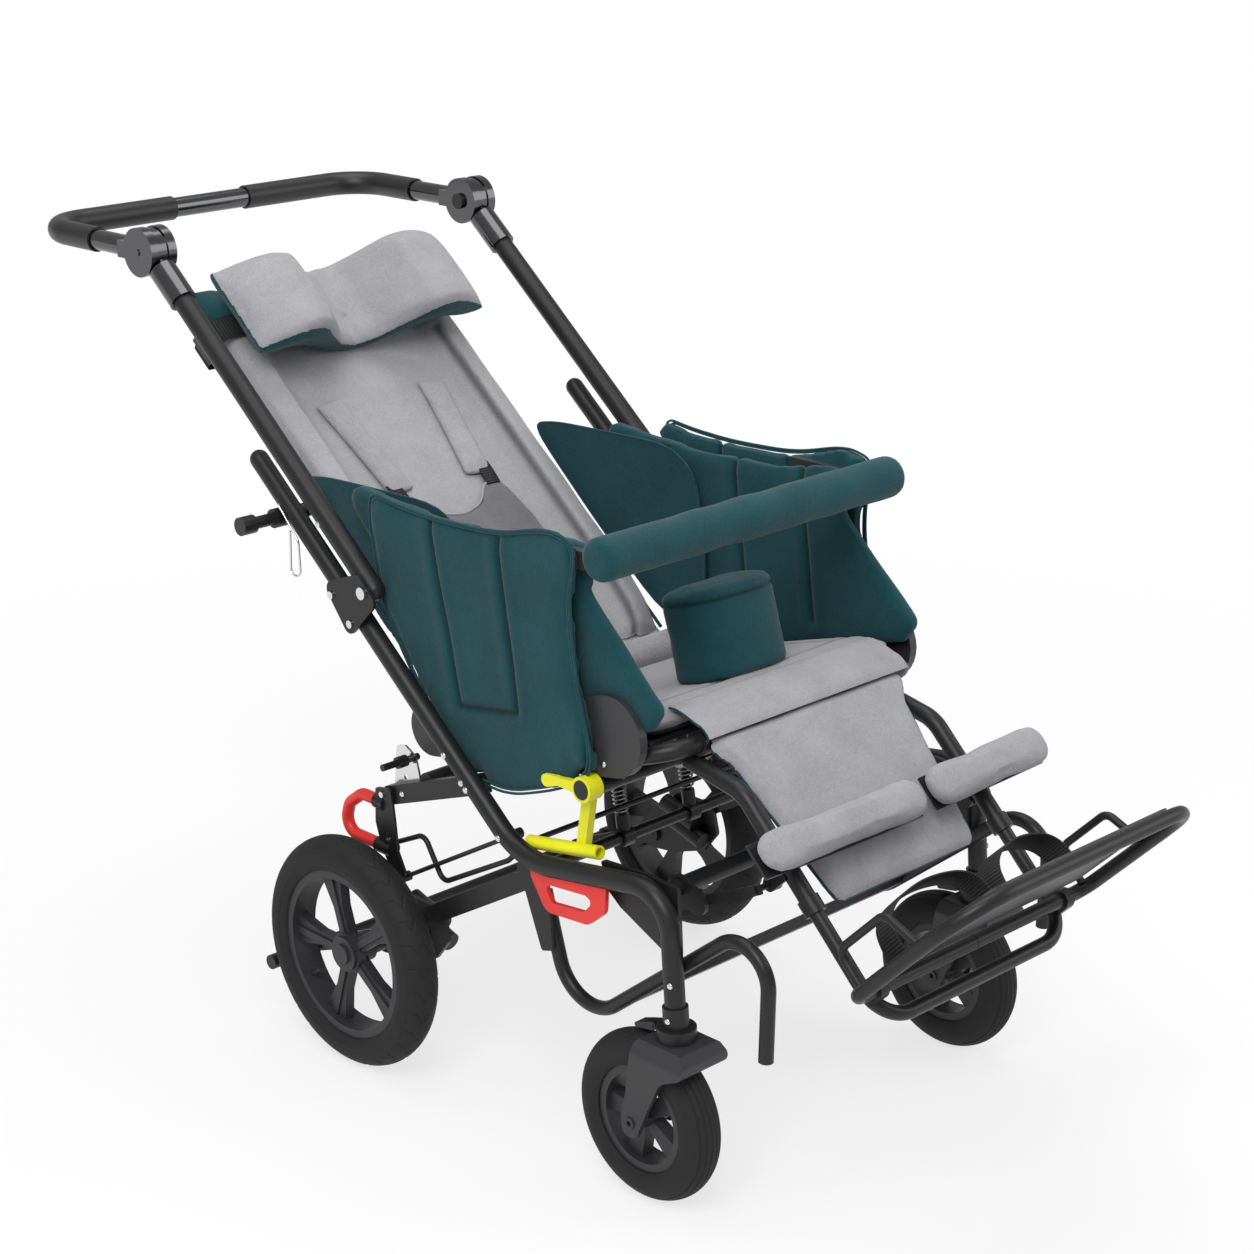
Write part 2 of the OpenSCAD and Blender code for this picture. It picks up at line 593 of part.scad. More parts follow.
// Dampers under the rear of the seat
module damper_at() {
  v = damper_top - damper_low;
  translate([0, damper_low[0], damper_low[1]]) rotate([atan2(v[1], v[0]) - 90, 0, 0]) children();
}
module damper_bodies() color("#2a2b2e") for (x = [-damper_x, damper_x]) translate([x, 0, 0]) damper_at() {
  low_l = 30 * small;
  difference() {
    union() {
      rotate([0, 90, 0]) cylinder(h = damper_body_d, d = damper_bar_d + 9 * small, center = true);
      cylinder(h = low_l, d = damper_body_d);
    }
    rotate([0, 90, 0]) cylinder(h = 2 * damper_body_d, d = damper_bar_d + 2 * seat_gap, center = true);
  }
  translate([0, 0, low_l - small]) cylinder(h = spring_l + 2 * small, d = spring_d * 0.5);
  difference() {
    union() {
      translate([0, 0, low_l + spring_l]) cylinder(h = damper_len - low_l - spring_l - damper_body_d * 0.3, d = damper_body_d);
      translate([0, 0, damper_len]) rotate([0, 90, 0])
        cylinder(h = damper_body_d * 1.1, d = seat_bar_d + 8 * small, center = true);
    }
    translate([0, 0, damper_len]) rotate([0, 90, 0])
      cylinder(h = 2 * damper_body_d, d = seat_bar_d + 2 * seat_gap, center = true);
  }
}
// One ring of a coil: a round wire section turned along the helix
function coil_ring(a, z, r, w, n) = [for (k = [0:n - 1])
  [(r + w / 2 * cos(360 * k / n)) * cos(a), (r + w / 2 * cos(360 * k / n)) * sin(a), z + w / 2 * sin(360 * k / n)]];
module coil(turns, len, r, w, n, per) {
  rings = turns * per;
  pts = [for (i = [0:rings]) each coil_ring(360 * i / per, w / 2 + (len - w) * i / rings, r, w, n)];
  sides = [for (i = [0:rings - 1]) for (k = [0:n - 1]) each
    [[i * n + k, (i + 1) * n + k, (i + 1) * n + (k + 1) % n],
     [i * n + k, (i + 1) * n + (k + 1) % n, i * n + (k + 1) % n]]];
  caps = [[for (k = [0:n - 1]) k], [for (k = [n - 1:-1:0]) rings * n + k]];
  polyhedron(pts, concat(sides, caps));
}
module damper_springs() color("#8f9296") for (x = [-damper_x, damper_x]) translate([x, 0, 0]) damper_at()
  translate([0, 0, 30 * small + seat_gap])
    coil(spring_turns, spring_l - 2 * seat_gap, (spring_d - spring_wire) / 2, spring_wire, 6, 8);
echo(spring_gap = (spring_l - 2 * seat_gap - spring_wire) / spring_turns - spring_wire);

module basket_frame() color("#232427") {
  p = spots(basket_shares);
  back = basket_x - 26 * small;
  bent_tube(concat([for (q = p) in3(basket_x, q)], [for (i = [4:-1:0]) in3(-basket_x, p[i])]),
    [14, 14, 18, 20, 20, 18, 14, 14] * small, basket_d);
}

module caster_heads() color("#232427") both() {
  difference() {
    union() {
      rod(in3(half_track, stem_foot - leg_dir * small), in3(half_track, stem_foot + leg_dir * head_sleeve_h * 0.62), tube_d + 6 * small);
      translate([half_track, stem_y, head_z]) cylinder(h = head_ring_h, d = bearing_d);
      translate([half_track - 4 * small, stem_y + bearing_d * 0.4, head_z + small])
        cube([8 * small, lock_reach - bearing_d * 0.4 + 5 * small, lock_lug_h]);
    }
    rod(in3(half_track, tube_foot - leg_dir * seat_gap), in3(half_track, tube_foot + leg_dir * head_sleeve_h), tube_d + 2 * run_gap);
    translate([half_track, stem_y, head_z - small]) cylinder(h = head_ring_h - small, d = stem_d + 2 * run_gap);
  }
  cross_rod(lock_at, half_track - lock_half, half_track + lock_half, lock_pin_d);
}
module caster_lock(side) color("#1d1e20") {
  x = side * half_track;
  for (s = [-1, 1]) difference() {
    side_cut(x + s * 6.4 * small - 2 * small, 4 * small)
      polygon(capsule(lock_at, lock_lug_h * 0.46, lock_at + [16, -4] * small, 4 * small, 8));
    cross_rod(lock_at, x - lock_half * 2, x + lock_half * 2, lock_pin_d + 2 * run_gap);
  }
  side_cut(x - 8.4 * small, 16.8 * small)
    polygon(capsule(lock_at + [16, -4] * small, 3.8 * small, lock_at + [27, -7] * small, 3 * small, 8));
}
module caster_lock_right() caster_lock(-1);
module caster_lock_left() caster_lock(1);

// Caster wheels and forks, drawn with the stem on the vertical axis
module caster_fork(side) color("#2c2d30") translate([side * half_track, stem_y, 0]) {
  cross_rod(axle_at, -fork_in - small, fork_in + small, caster_axle_d);
  caster_fork_body();
}
module caster_fork_body() difference() {
  union() {
    intersection() {
      side_cut(-2 * fork_in, 4 * fork_in)
        polygon(soft_corners([for (p = fork_side) [p[0] * small, caster_r + p[1] * small]], fork_radii * small));
      front_cut(-caster_r, 2 * caster_r) polygon(soft_corners(
        [[-fork_in - fork_leg, 0], [fork_in + fork_leg, 0], [fork_in + fork_leg, caster_r + 40 * small],
         [fork_in + 12 * small, caster_r + 96 * small], [fork_in + 5 * small, crown_z - small], [-fork_in - 5 * small, crown_z - small],
         [-fork_in - 12 * small, caster_r + 96 * small], [-fork_in - fork_leg, caster_r + 40 * small]], [0, 0, 60, 12, 5, 5, 12, 60] * small));
    }
    translate([0, 0, crown_z - 8 * small]) cylinder(h = 8 * small, d = bearing_d + 2 * small);
    translate([0, 0, crown_z - small]) cylinder(h = head_ring_h - 2 * small, d = stem_d);
    cross_rod(axle_at, -fork_in - fork_leg - 2 * small, fork_in + fork_leg + 2 * small, caster_axle_d + 5 * small);
  }
  cross_rod(axle_at, -fork_in, fork_in, 2 * (caster_r + 2.5 * small));
  for (s = [-1, 1])
    cross_rod(axle_at, s * (fork_in + fork_leg + 2 * small) - 4 * small, s * (fork_in + fork_leg + 2 * small) + 4 * small, caster_axle_d * 0.7);
}
module caster_fork_right() caster_fork(-1);
module caster_fork_left() caster_fork(1);

module wheel_at(x, y, z) translate([x, y, z]) rotate([0, 90, 0]) children();
// Tyre section cut off flat where it sits on the rim, with grooves round the tread
module tyre(out_r, half, rim_r, grooves, groove_r, spread) rotate_extrude($fn = 96) difference() {
  translate([out_r - half, 0]) circle(r = half);
  translate([0, -2 * half]) square([rim_r + seat_gap, 4 * half]);
  for (i = [0:grooves - 1])
    translate([out_r - half, 0] + (half + groove_r * 0.35) * [cos(spread * (i - (grooves - 1) / 2)), sin(spread * (i - (grooves - 1) / 2))])
      circle(r = groove_r, $fn = 12);
}
module caster_rim(side) color("#2f3033") wheel_at(side * half_track, stem_y + caster_trail, caster_r) difference() {
  union() {
    rotate_extrude($fn = 96) translate([caster_rim_r, 0]) polygon([
      [-10 * small, -caster_rim_half], [0, -caster_rim_half], [0, 3 * small - caster_rim_half], [-5 * small, -8 * small],
      [-5 * small, 8 * small], [0, caster_rim_half - 3 * small], [0, caster_rim_half], [-10 * small, caster_rim_half]]);
    translate([0, 0, -fork_in + seat_gap]) cylinder(h = 2 * (fork_in - seat_gap), r = 13 * small);
    for (i = [0:4]) rotate([0, 0, 72 * i + 18])
      translate([0, 0, -9 * small]) linear_extrude(18 * small)
        polygon([[8, -6], [8, 6], [58, 13], [58, -13]] * small);
  }
  axle_bore();
}
module axle_bore() cylinder(h = 4 * fork_in, d = caster_axle_d + 2 * run_gap, center = true);
module caster_rim_right() caster_rim(-1);
module caster_rim_left() caster_rim(1);
module caster_tyre(side) color("#1c1c1e") wheel_at(side * half_track, stem_y + caster_trail, caster_r)
  tyre(caster_r, caster_tyre_r, caster_rim_r, 6, 1.4 * small, 17);
module caster_tyre_right() caster_tyre(-1);
module caster_tyre_left() caster_tyre(1);

module rear_rim(side) color("#2f3033") wheel_at(side * rear_wheel_x, rear_axle_y, rear_r) mirror([0, 0, side < 0 ? 1 : 0]) difference() {
  union() {
    rotate_extrude($fn = 96) difference() {
      translate([rear_rim_r - 11 * small, -rear_rim_half]) square([11 * small, 2 * rear_rim_half]);
      translate([rear_rim_r + 8 * small, 0]) circle(r = 15 * small);
    }
    translate([0, 0, -hub_half]) cylinder(h = hub_half + 4 * small, d = 40 * small);
    translate([0, 0, 0]) cylinder(h = 12 * small, d = hub_cap_d);
    translate([0, 0, small]) cylinder(h = 16 * small, d = hub_cap_d * 0.86);
    translate([0, 0, small]) cylinder(h = hub_out, d = hub_cap_d * 0.5);
    for (i = [0:rear_spokes - 1]) rotate([0, 0, 360 / rear_spokes * i + 18]) {
      translate([0, 0, -7 * small]) linear_extrude(14 * small)
        polygon([[0, -10], [0, 10], [60, 9.5], [104, 20], [104, -20], [60, -9.5]] * small);
      translate([0, 0, 0]) linear_extrude(10 * small)
        polygon([[0, -4], [0, 4], [103.6, 5], [103.6, -5]] * small);
    }
    rotate([0, 0, 54]) translate([rear_rim_r - 34 * small, 0, 4 * small]) rotate([0, 90, 0])
      cylinder(h = 26 * small, d = 7 * small);
  }
  translate([0, 0, -hub_half - small]) cylinder(h = hub_half + hub_out - small, d = spindle_d + 2 * run_gap);
}
module rear_rim_right() rear_rim(-1);
module rear_rim_left() rear_rim(1);
module rear_tyre(side) color("#1c1c1e") wheel_at(side * rear_wheel_x, rear_axle_y, rear_r)
  tyre(rear_r, rear_tyre_r, rear_rim_r, 5, 1.6 * small, 24);
module rear_tyre_right() rear_tyre(-1);
module rear_tyre_left() rear_tyre(1);

// Foot brake behind the rear wheels
module brake_pedal() color("#232427") {
  c = [rear_axle_y, rear_r];
  p = c + [pedal_reach, -pedal_drop];
  both() side_cut(arm_x - pedal_t - seat_gap, pedal_t) difference() {
    polygon(capsule(c, pedal_pin_d * 0.9, p, 9 * small, 10));
    translate(c) circle(d = pedal_pin_d + 2 * run_gap);
  }
  cross_rod(p, -rear_wheel_x - 2 * small, rear_wheel_x + 2 * small, 14 * small);
  both() cross_rod(p, rear_wheel_x - 10 * small, rear_wheel_x + 16 * small, 20 * small);
}

// Push tubes in their own frame: z runs up along the tube from the pivot
module push_at() translate([0, pivot[0], pivot[1]]) rotate([back_angle - 90, 0, 0]) children();
module push_tubes() color("#26272a") both() push_at() difference() {
  union() {
    translate([half_track, 0, 0]) cylinder(h = socket_high - 4 * small, d = push_d);
    translate([half_track, 0, 0]) sphere(d = push_d - seam_step, $fn = 48);
  }
  translate([0, 0, 0]) rotate([0, 90, 0]) cylinder(h = 2 * half_track, d = bolt_d + 2 * run_gap);
}
module handle_sockets() color("#3a3b3f") both() push_at() difference() {
  union() {
    translate([half_track, 0, socket_low]) cylinder(h = socket_high - socket_low, d = socket_d);
    translate([half_track - knuckle_w / 2, -push_d / 2, socket_high - 12 * small]) cube([knuckle_w, push_d, 26 * small]);
    translate([half_track - knuckle_w / 2, 0, push_l]) rotate([0, 90, 0]) cylinder(h = knuckle_w, d = disc_d - 4 * small);
  }
  translate([half_track, 0, socket_low - small]) cylinder(h = socket_high - 4 * small + seat_gap - socket_low + small, d = push_d + 2 * seat_gap);
  translate([0, 0, push_l]) rotate([0, 90, 0]) cylinder(h = 2 * half_track, d = bolt_d + 2 * run_gap);
}
// Handle bar with its knuckles either side of the lower ones
module handle_bar() color("#2c2d30") {
  bent_tube(handle_path, [handle_r, handle_r], handle_d);
  both() {
    difference() {
      union() for (x = [disc_inner, disc_outer - disc_side]) {
        cross_rod(joint_at, x, x + disc_side, disc_d);
        translate([x, joint_at[0], bar_z - handle_d * 0.4]) cube([disc_side, disc_d / 2 + 14 * small, handle_d * 0.8]);
      }
      cross_rod(joint_at, disc_inner - small, disc_inner + button_l - 3 * small, button_d + 2 * run_gap);
    }
    cross_rod(joint_at, half_track - knuckle_w / 2 - small, half_track + knuckle_w / 2 + small, bolt_d);
    cross_rod(joint_at, disc_outer - small, disc_outer + 1.5 * small, bolt_d * 1.1);
  }
}
module handle_grips() color("#202124") both() difference() {
  bent_tube([handle_path[0] + [0, grip_offset, 0], handle_path[1], [handle_gap, bar_y, bar_z]], [handle_r], grip_d);
  bent_tube([handle_path[0] + [0, grip_offset - small, 0], handle_path[1], [handle_gap - small, bar_y, bar_z]], [handle_r], handle_d + 2 * seat_gap);
}
module handle_button(side) color("#17181a") mirror([side < 0 ? 1 : 0, 0, 0])
  cross_rod(joint_at, disc_inner - 5 * small, disc_inner + 3 * small, button_d);
module handle_button_right() handle_button(-1);
module handle_button_left() handle_button(1);

module pivot_bolts() color("#c9cbce") both() {
  // Pivot bolt of the push tube
  cross_rod(pivot, push_in - 3 * small, hinge_x + bracket_t + bolt_h, bolt_d);
  cross_rod(pivot, hinge_x + bracket_t + seat_gap, hinge_x + bracket_t + seat_gap + bolt_h, bolt_d * 2);
  for (s = spots(hinge_bolt_shares))
    cross_rod(s, hinge_x + bracket_t + seat_gap, hinge_x + bracket_t + seat_gap + bolt_h * 0.6, bolt_d * 1.3);
  l = spots(link_shares);
  for (p = [l[2] + [-12, 10] * small, l[0] + [-14, -6] * small])
    cross_rod(p, link_x + bracket_t + seat_gap, link_x + bracket_t + seat_gap + bolt_h * 0.6, bolt_d);
  difference() {
    side_cut(rail_in - seat_gap - 3 * small, 3 * small)
      polygon(soft_corners(spots(chrome_plate_shares), 5 * small));
    cross_rod(spot(plunger_share), 0, half_track, plunger_d + 2 * run_gap);
    cross_rod(spot(plunger_share) + [9, -27] * small, 0, half_track, bolt_d);
  }
}
module frame_plunger() color("#1d1e20") mirror([1, 0, 0]) {
  cross_rod(spot(plunger_share), rail_in - 14 * small, half_track + 18 * small, plunger_d);
  cross_rod(spot(plunger_share), rail_in + seat_gap + 6 * small, half_track - 6 * small, plunger_d * 1.7);
}

// Wire clips through the tops of the side tubes
module wire_clip(side) color("#c9cbce") mirror([side < 0 ? 1 : 0, 0, 0]) {
  c = spot(clip_share);
  x = half_track + tube_d / 2 + 3 * small;
  y = c[0];
  z = c[1];
  bent_tube([[half_track + tube_d / 2 - 6 * small, y, z], [x, y, z], [x, y - 38 * small, z - 40 * small],
    [x, y - 40 * small, z - 88 * small], [x, y - 20 * small, z - 88 * small], [x, y - 22 * small, z - 30 * small]],
    [2.6, 14, 9, 9] * small, clip_d);
}
module wire_clip_right() wire_clip(-1);
module wire_clip_left() wire_clip(1);

module recline_knob(side) color("#232427") mirror([side < 0 ? 1 : 0, 0, 0]) {
  k = spot(knob_share);
  cross_rod(k, back_half + 6 * small, half_track + 50 * small, knob_rod_d);
  cross_rod(k, half_track + 46 * small, half_track + 67 * small, knob_rod_d * 1.5);
  cross_rod(k, half_track - tube_d * 0.6 - knob_travel - 10 * small, half_track - tube_d * 0.6 - knob_travel, knob_rod_d * 1.35);
}
module recline_knob_right() recline_knob(-1);
module recline_knob_left() recline_knob(1);

// Seat frame of reference: y forward is minus the length share, z is up from the seat
module seat_at() translate([0, seat_at_p[0], seat_at_p[1]]) rotate([-seat_tilt, 0, 0]) children();
function seat_point(s, depth) = seat_at_p + s * [-cos(seat_tilt), sin(seat_tilt)] - depth * [sin(seat_tilt), cos(seat_tilt)];
module seat_frame() color("#26272a") {
  seat_at() {
    bent_tube([[rail_x_seat, 15 * small, -rail_depth], [rail_x_seat, -front_s, -rail_depth],
               [-rail_x_seat, -front_s, -rail_depth], [-rail_x_seat, 15 * small, -rail_depth]],
              [seat_rail_r, seat_rail_r], seat_rail_d);
    difference() {
      union() {
        translate([-board_half, -seat_l + 12 * small, -seat_pad_t - seat_gap - board_t]) cube([2 * board_half, seat_l - 12 * small, board_t]);
        translate([-post_w, -post_s - post_t * 1.2, -seat_pad_t - seat_gap - board_t - 24 * small]) cube([2 * post_w, post_t * 2.4, 24 * small + small]);
      }
      translate([-post_w / 2 - run_gap, -post_s - post_t / 2 - run_gap, -2 * yoke_deep]) cube([post_w + 2 * run_gap, post_t + 2 * run_gap, 2 * yoke_deep]);
    }
    // Hangers of the yoke tube under the rails
    for (x = [-1, 1]) translate([x * (rail_x_seat - 12 * small) - 3 * small, 0, 0])
      rotate([90, 0, 90]) linear_extrude(6 * small) polygon(soft_corners(
        [[-yoke_s - 26 * small, -rail_depth + 4 * small], [-yoke_s - 14 * small, -yoke_deep - 4 * small],
         [-yoke_s + 14 * small, -yoke_deep - 4 * small], [-yoke_s + 26 * small, -rail_depth + 4 * small]], [0, 9, 9, 0] * small));
    for (x = [-1, 1]) translate([x * (rail_x_seat - 8 * small) - 7 * small, -yoke_s - 26 * small, -rail_depth - 4 * small])
      cube([14 * small, 52 * small, 8 * small]);
  }
  cross_rod(yoke, -half_yoke, half_yoke, yoke_d);
  cross_rod(damper_top, -rail_x_seat, rail_x_seat, seat_bar_d);
}

module side_plates() color("#3b3c40") both() {
  difference() {
    seat_at() rotate([90, 0, 90]) translate([0, 0, plate_in]) linear_extrude(plate_t)
      polygon(capsule([-302, -18] * small, 50 * small, [34, 1.4] * small, 35 * small, 16));
    cross_rod(yoke, 0, half_track, yoke_d + 2 * seat_gap);
  }
  cross_rod(pin_at, back_half - 16 * small, plate_in + small, pin_d);
  // Armrest post and the socket of the padded bar
  difference() {
    union() {
      translate([plate_in + small, post_y, seat_at_p[1] + 60 * small]) cube([plate_t - 2 * small, 30 * small, arm_z - seat_at_p[1] - 55 * small]);
      translate([plate_in, arm_back, arm_z - 11 * small]) cube([plate_t, socket_l, 22 * small]);
    }
    translate([plate_in + plate_t / 2 - arm_w / 2 - run_gap, arm_back - small, arm_z - arm_h / 2 - run_gap])
      cube([arm_w + 2 * run_gap, socket_l + 2 * small, arm_h + 2 * run_gap]);
  }
}

module grab_bar_frame() color("#232427") {
  cross_rod(bar_at, -plate_out + small, plate_out - small, 20 * small);
  both() translate([plate_in + plate_t / 2 - arm_w / 2, bar_at[0], arm_z - arm_h / 2]) cube([arm_w, arm_back - bar_at[0] + 104 * small, arm_h]);
}
module grab_bar_sleeve() color("#1f5c63") difference() {
  union() {
    cross_rod(bar_at, -bar_half + 12 * small, bar_half - 12 * small, bar_d);
    both() translate([bar_half - 12 * small, bar_at[0], bar_at[1]]) rotate([0, 90, 0]) rotate_extrude($fn = 64)
      polygon(concat([[0, -small], [bar_d / 2, -small]], [for (k = [0:6]) [bar_d / 2 - 12 * small + 12 * small * cos(15 * k), 12 * small * sin(15 * k)]], [[0, 12 * small]]));
  }
  cross_rod(bar_at, -plate_out, plate_out, 20 * small + 2 * seat_gap);
  both() translate([plate_in + plate_t / 2 - arm_w / 2 - soft_gap, bar_at[0], arm_z - arm_h / 2 - soft_gap]) cube([arm_w + 2 * soft_gap, bar_d, arm_h + 2 * soft_gap]);
}

module side_panels() color("#1f5c63") both() difference() {
  side_cut(panel_in, panel_t) polygon(soft_corners(spots(panel_shares), [18, 0, 0, 0, 30, 12, 60, 0, 22, 30, 40, 30, 60, 30] * small));
  cross_rod(yoke, 0, 2 * half_track, yoke_d + 18 * small);
  cross_rod(bar_at, 0, 2 * half_track, bar_d + 4 * soft_gap);
  u = spots(upper_rail_shares);
  flat_bar(u[0], u[1], rail_x, rail_h + 2 * soft_gap, rail_t + 2 * soft_gap, soft_gap);
}
module side_flaps() color("#1f5c63") both() difference() {
  side_cut(flap_in, flap_t) polygon(soft_corners(spots(flap_shares), [8, 0, 40, 16, 16, 0, 20, 20, 60, 20, 20, 0, 0, 0, 10] * small));
  cross_rod(pin_at, 0, 2 * half_track, pin_d + 2 * soft_gap);
  cross_rod(bar_at, 0, 2 * half_track, bar_d + 4 * soft_gap);
}

// Pillow with a seam round the edge: two swelling surfaces over a grid
function grid(n) = [for (i = [0:n]) -cos(180 * i / n)];
function bulge(t, e) = pow(1 - pow(abs(t), e), 1 / 2);
module pillow(hx, hy, nx, ny, up, down, edge, rim = 0.12) {
  gx = grid(nx);
  function lift(t, j) = max(rim, bulge(gx[j] * 0.9999, edge)) * max(rim, bulge(t * 0.9999, edge));
  loft([for (t = grid(ny)) concat(
    [for (j = [0:nx]) [hx * gx[j], hy * t, up * lift(t, j)]],
    [for (j = [nx:-1:0]) [hx * gx[j], hy * t, -down * lift(t, j)]])]);
}

module seat_cushion() color("#b7b6ba") seat_at() difference() {
  translate([0, -seat_l / 2 + 2 * small, -seat_pad_t / 2]) pillow(seat_half, seat_l / 2 - 2 * small, 22, 19, seat_pad_t / 2, seat_pad_t / 2, 10);
  translate([-post_w / 2 - soft_gap, -post_s - post_t / 2 - soft_gap, -2 * seat_pad_t]) cube([post_w + 2 * soft_gap, post_t + 2 * soft_gap, 3 * seat_pad_t]);
}
module pommel() color("#1f5c63") seat_at() translate([0, -pommel_s, 0]) {
  translate([0, 0, pommel_foot]) pommel_body();
  translate([-post_w / 2, -post_s + pommel_s - post_t / 2, -post_len]) cube([post_w, post_t, post_len + 6 * small]);
}
function d_ring(w, d, z, n) = [for (k = [0:n - 1]) let (a = 360 * k / n, c = cos(a), s = sin(a))
  [w / 2 * sign(c) * pow(abs(c), s < 0 ? 0.8 : 0.5), d / 2 * sign(s) * pow(abs(s), s < 0 ? 0.9 : 0.5), z]];
module loft(rings) {
  n = len(rings[0]);
  m = len(rings);
  polyhedron([for (r = rings) each r], concat(
    [for (i = [0:m - 2]) for (k = [0:n - 1]) each
      [[i * n + k, (i + 1) * n + k, (i + 1) * n + (k + 1) % n], [i * n + k, (i + 1) * n + (k + 1) % n, i * n + (k + 1) % n]]],
    [[for (k = [0:n - 1]) k], [for (k = [n - 1:-1:0]) (m - 1) * n + k]]));
}
// The same with ends closed by strips, for sections that aren't convex
module loft_strips(rings) {
  n = len(rings[0]);
  m = len(rings);
  strip = [for (k = [0:n / 2 - 2]) each [[k, k + 1, n - 1 - k], [k + 1, n - 2 - k, n - 1 - k]]];
  polyhedron([for (r = rings) each r], concat(
    [for (i = [0:m - 2]) for (k = [0:n - 1]) each
      [[i * n + k, (i + 1) * n + k, (i + 1) * n + (k + 1) % n], [i * n + k, (i + 1) * n + (k + 1) % n, i * n + (k + 1) % n]]],
    strip, [for (f = strip) [for (k = [2:-1:0]) (m - 1) * n + f[k]]]));
}
module pommel_body() loft([for (k = [0:9]) let (t = k / 9, low = 4 * small, top_r = 14 * small,
  z = k < 2 ? low * k : k == 2 ? pommel_h - top_r : pommel_h - top_r + top_r * sin(90 * (k - 2) / 7),
  in = k == 0 ? low * 0.6 : k <= 2 ? 0 : top_r * (1 - cos(90 * (k - 2) / 7)))
  d_ring(pommel_w - 2 * in, pommel_deep - 2 * in, z, 36)]);

// Backrest in its own frame: z up along the back, y towards the rear
module back_at() translate([0, seat_at_p[0], seat_at_p[1]]) rotate([back_angle - 90, 0, 0]) children();
module back_shell() color("#1f5c63") back_at() difference() {
  rotate([90, 0, 90]) translate([0, 0, -back_half]) linear_extrude(2 * back_half)
    polygon(concat(soft_corners([[back_t, back_l], [pad_t + small, back_l]], 0),
      [for (k = [0:12]) let (a = 180 + 15 * k) [back_t / 2 + back_t / 2 * cos(a), pin_local[1] + back_t / 2 * sin(a)]]));
  translate([-back_half * 2, 0, pad_low]) mirror([0, 0, 0]) translate([0, -small, 0]) cube([4 * back_half, pad_t + small, back_l]);
  both() translate([back_half - 17 * small, pin_local[0], pin_local[1]]) rotate([0, 90, 0]) cylinder(h = 30 * small, d = pin_d + 2 * run_gap);
}
// Back pad: bolsters either side of a hollow
function pad_face(u) = let (a = abs(u), x = a * back_half) 
  x > back_half * 0.76 ? 0 : x > back_half * 0.66 ? hollow_t * (back_half * 0.76 - x) / (back_half * 0.1) : hollow_t;
module back_pad() color("#b7b6ba") back_at() {
  n = len(pad_xs);
  half = back_half - 3 * small;
  z0 = pad_low + 4 * small;
  z1 = back_l - 4 * small;
  rear = pad_t - seat_gap;
  loft([for (k = [0:12]) let (t = -cos(15 * k), e = max(0.15, bulge(t * 0.9999, 8)), z = z0 + (z1 - z0) * (0.5 + 0.5 * t)) concat(
    [for (u = pad_xs) [half * u, rear - (rear - pad_face(u)) * e * max(0.15, bulge(u * 0.9999, 14)), z]],
    [for (i = [n - 1:-1:0]) let (u = pad_xs[i]) [half * u, rear - pad_crown * (u * u + t * t), z]])]);
}
module harness() color("#8c8c91") back_at() {
  both() {
    translate([79 * small, face_y - 6 * small, 440 * small]) rotate([90, 0, 0]) rotate([0, 0, -8])
      pillow(22 * small, 84 * small, 8, 12, 6 * small, 5.5 * small, 10, 0.3);
  }
  translate([0, face_y, 0]) rotate([90, 0, 0]) linear_extrude(8 * small)
    polygon(soft_corners([[-95, 130], [95, 130], [112, 250], [92, 345], [62, 340], [40, 312], [0, 300], [-40, 312], [-62, 340], [-92, 345], [-112, 250]] * small,
      [20, 20, 40, 12, 12, 20, 20, 20, 12, 12, 40] * small));
}

// Headrest: two wings either side of a neck hollow
module head_at() back_at() translate([0, 0, head_low]) children();
function head_spot(u, v, t) = let (f = head_front_y + v * small) [head_half * u, -f, head_l / 2 * (1 + t) - head_shear * f - head_crown * t * u * u];
function head_front(u) = let (a = abs(u)) a > 0.57 ? 45 + (0 - 45) * pow((a - 0.57) / 0.43, 2) : -52 + (45 + 52) * (0.5 - 0.5 * cos(180 * a / 0.57));
function head_back(u) = let (a = abs(u)) a > 0.8 ? -38 + 30 * pow((a - 0.8) / 0.2, 2) : -78 + (78 - 38) * (0.5 - 0.5 * cos(180 * a / 0.8));
module headrest() color("#b7b6ba") head_at() {
  n = len(head_xs);
  loft_strips([for (k = [0:10]) let (t = -cos(18 * k), e = max(0.3, bulge(t * 0.9999, 10))) concat(
    [for (u = head_xs) head_spot(u, head_mid(u) + head_thick(u) * e, t)],
    [for (i = [n - 1:-1:0]) head_spot(head_xs[i], head_mid(head_xs[i]) - head_thick(head_xs[i]) * e, t)])]);
}
function head_mid(u) = (head_front(u) + head_back(u)) / 2;
function head_thick(u) = (head_front(u) - head_back(u)) / 2;

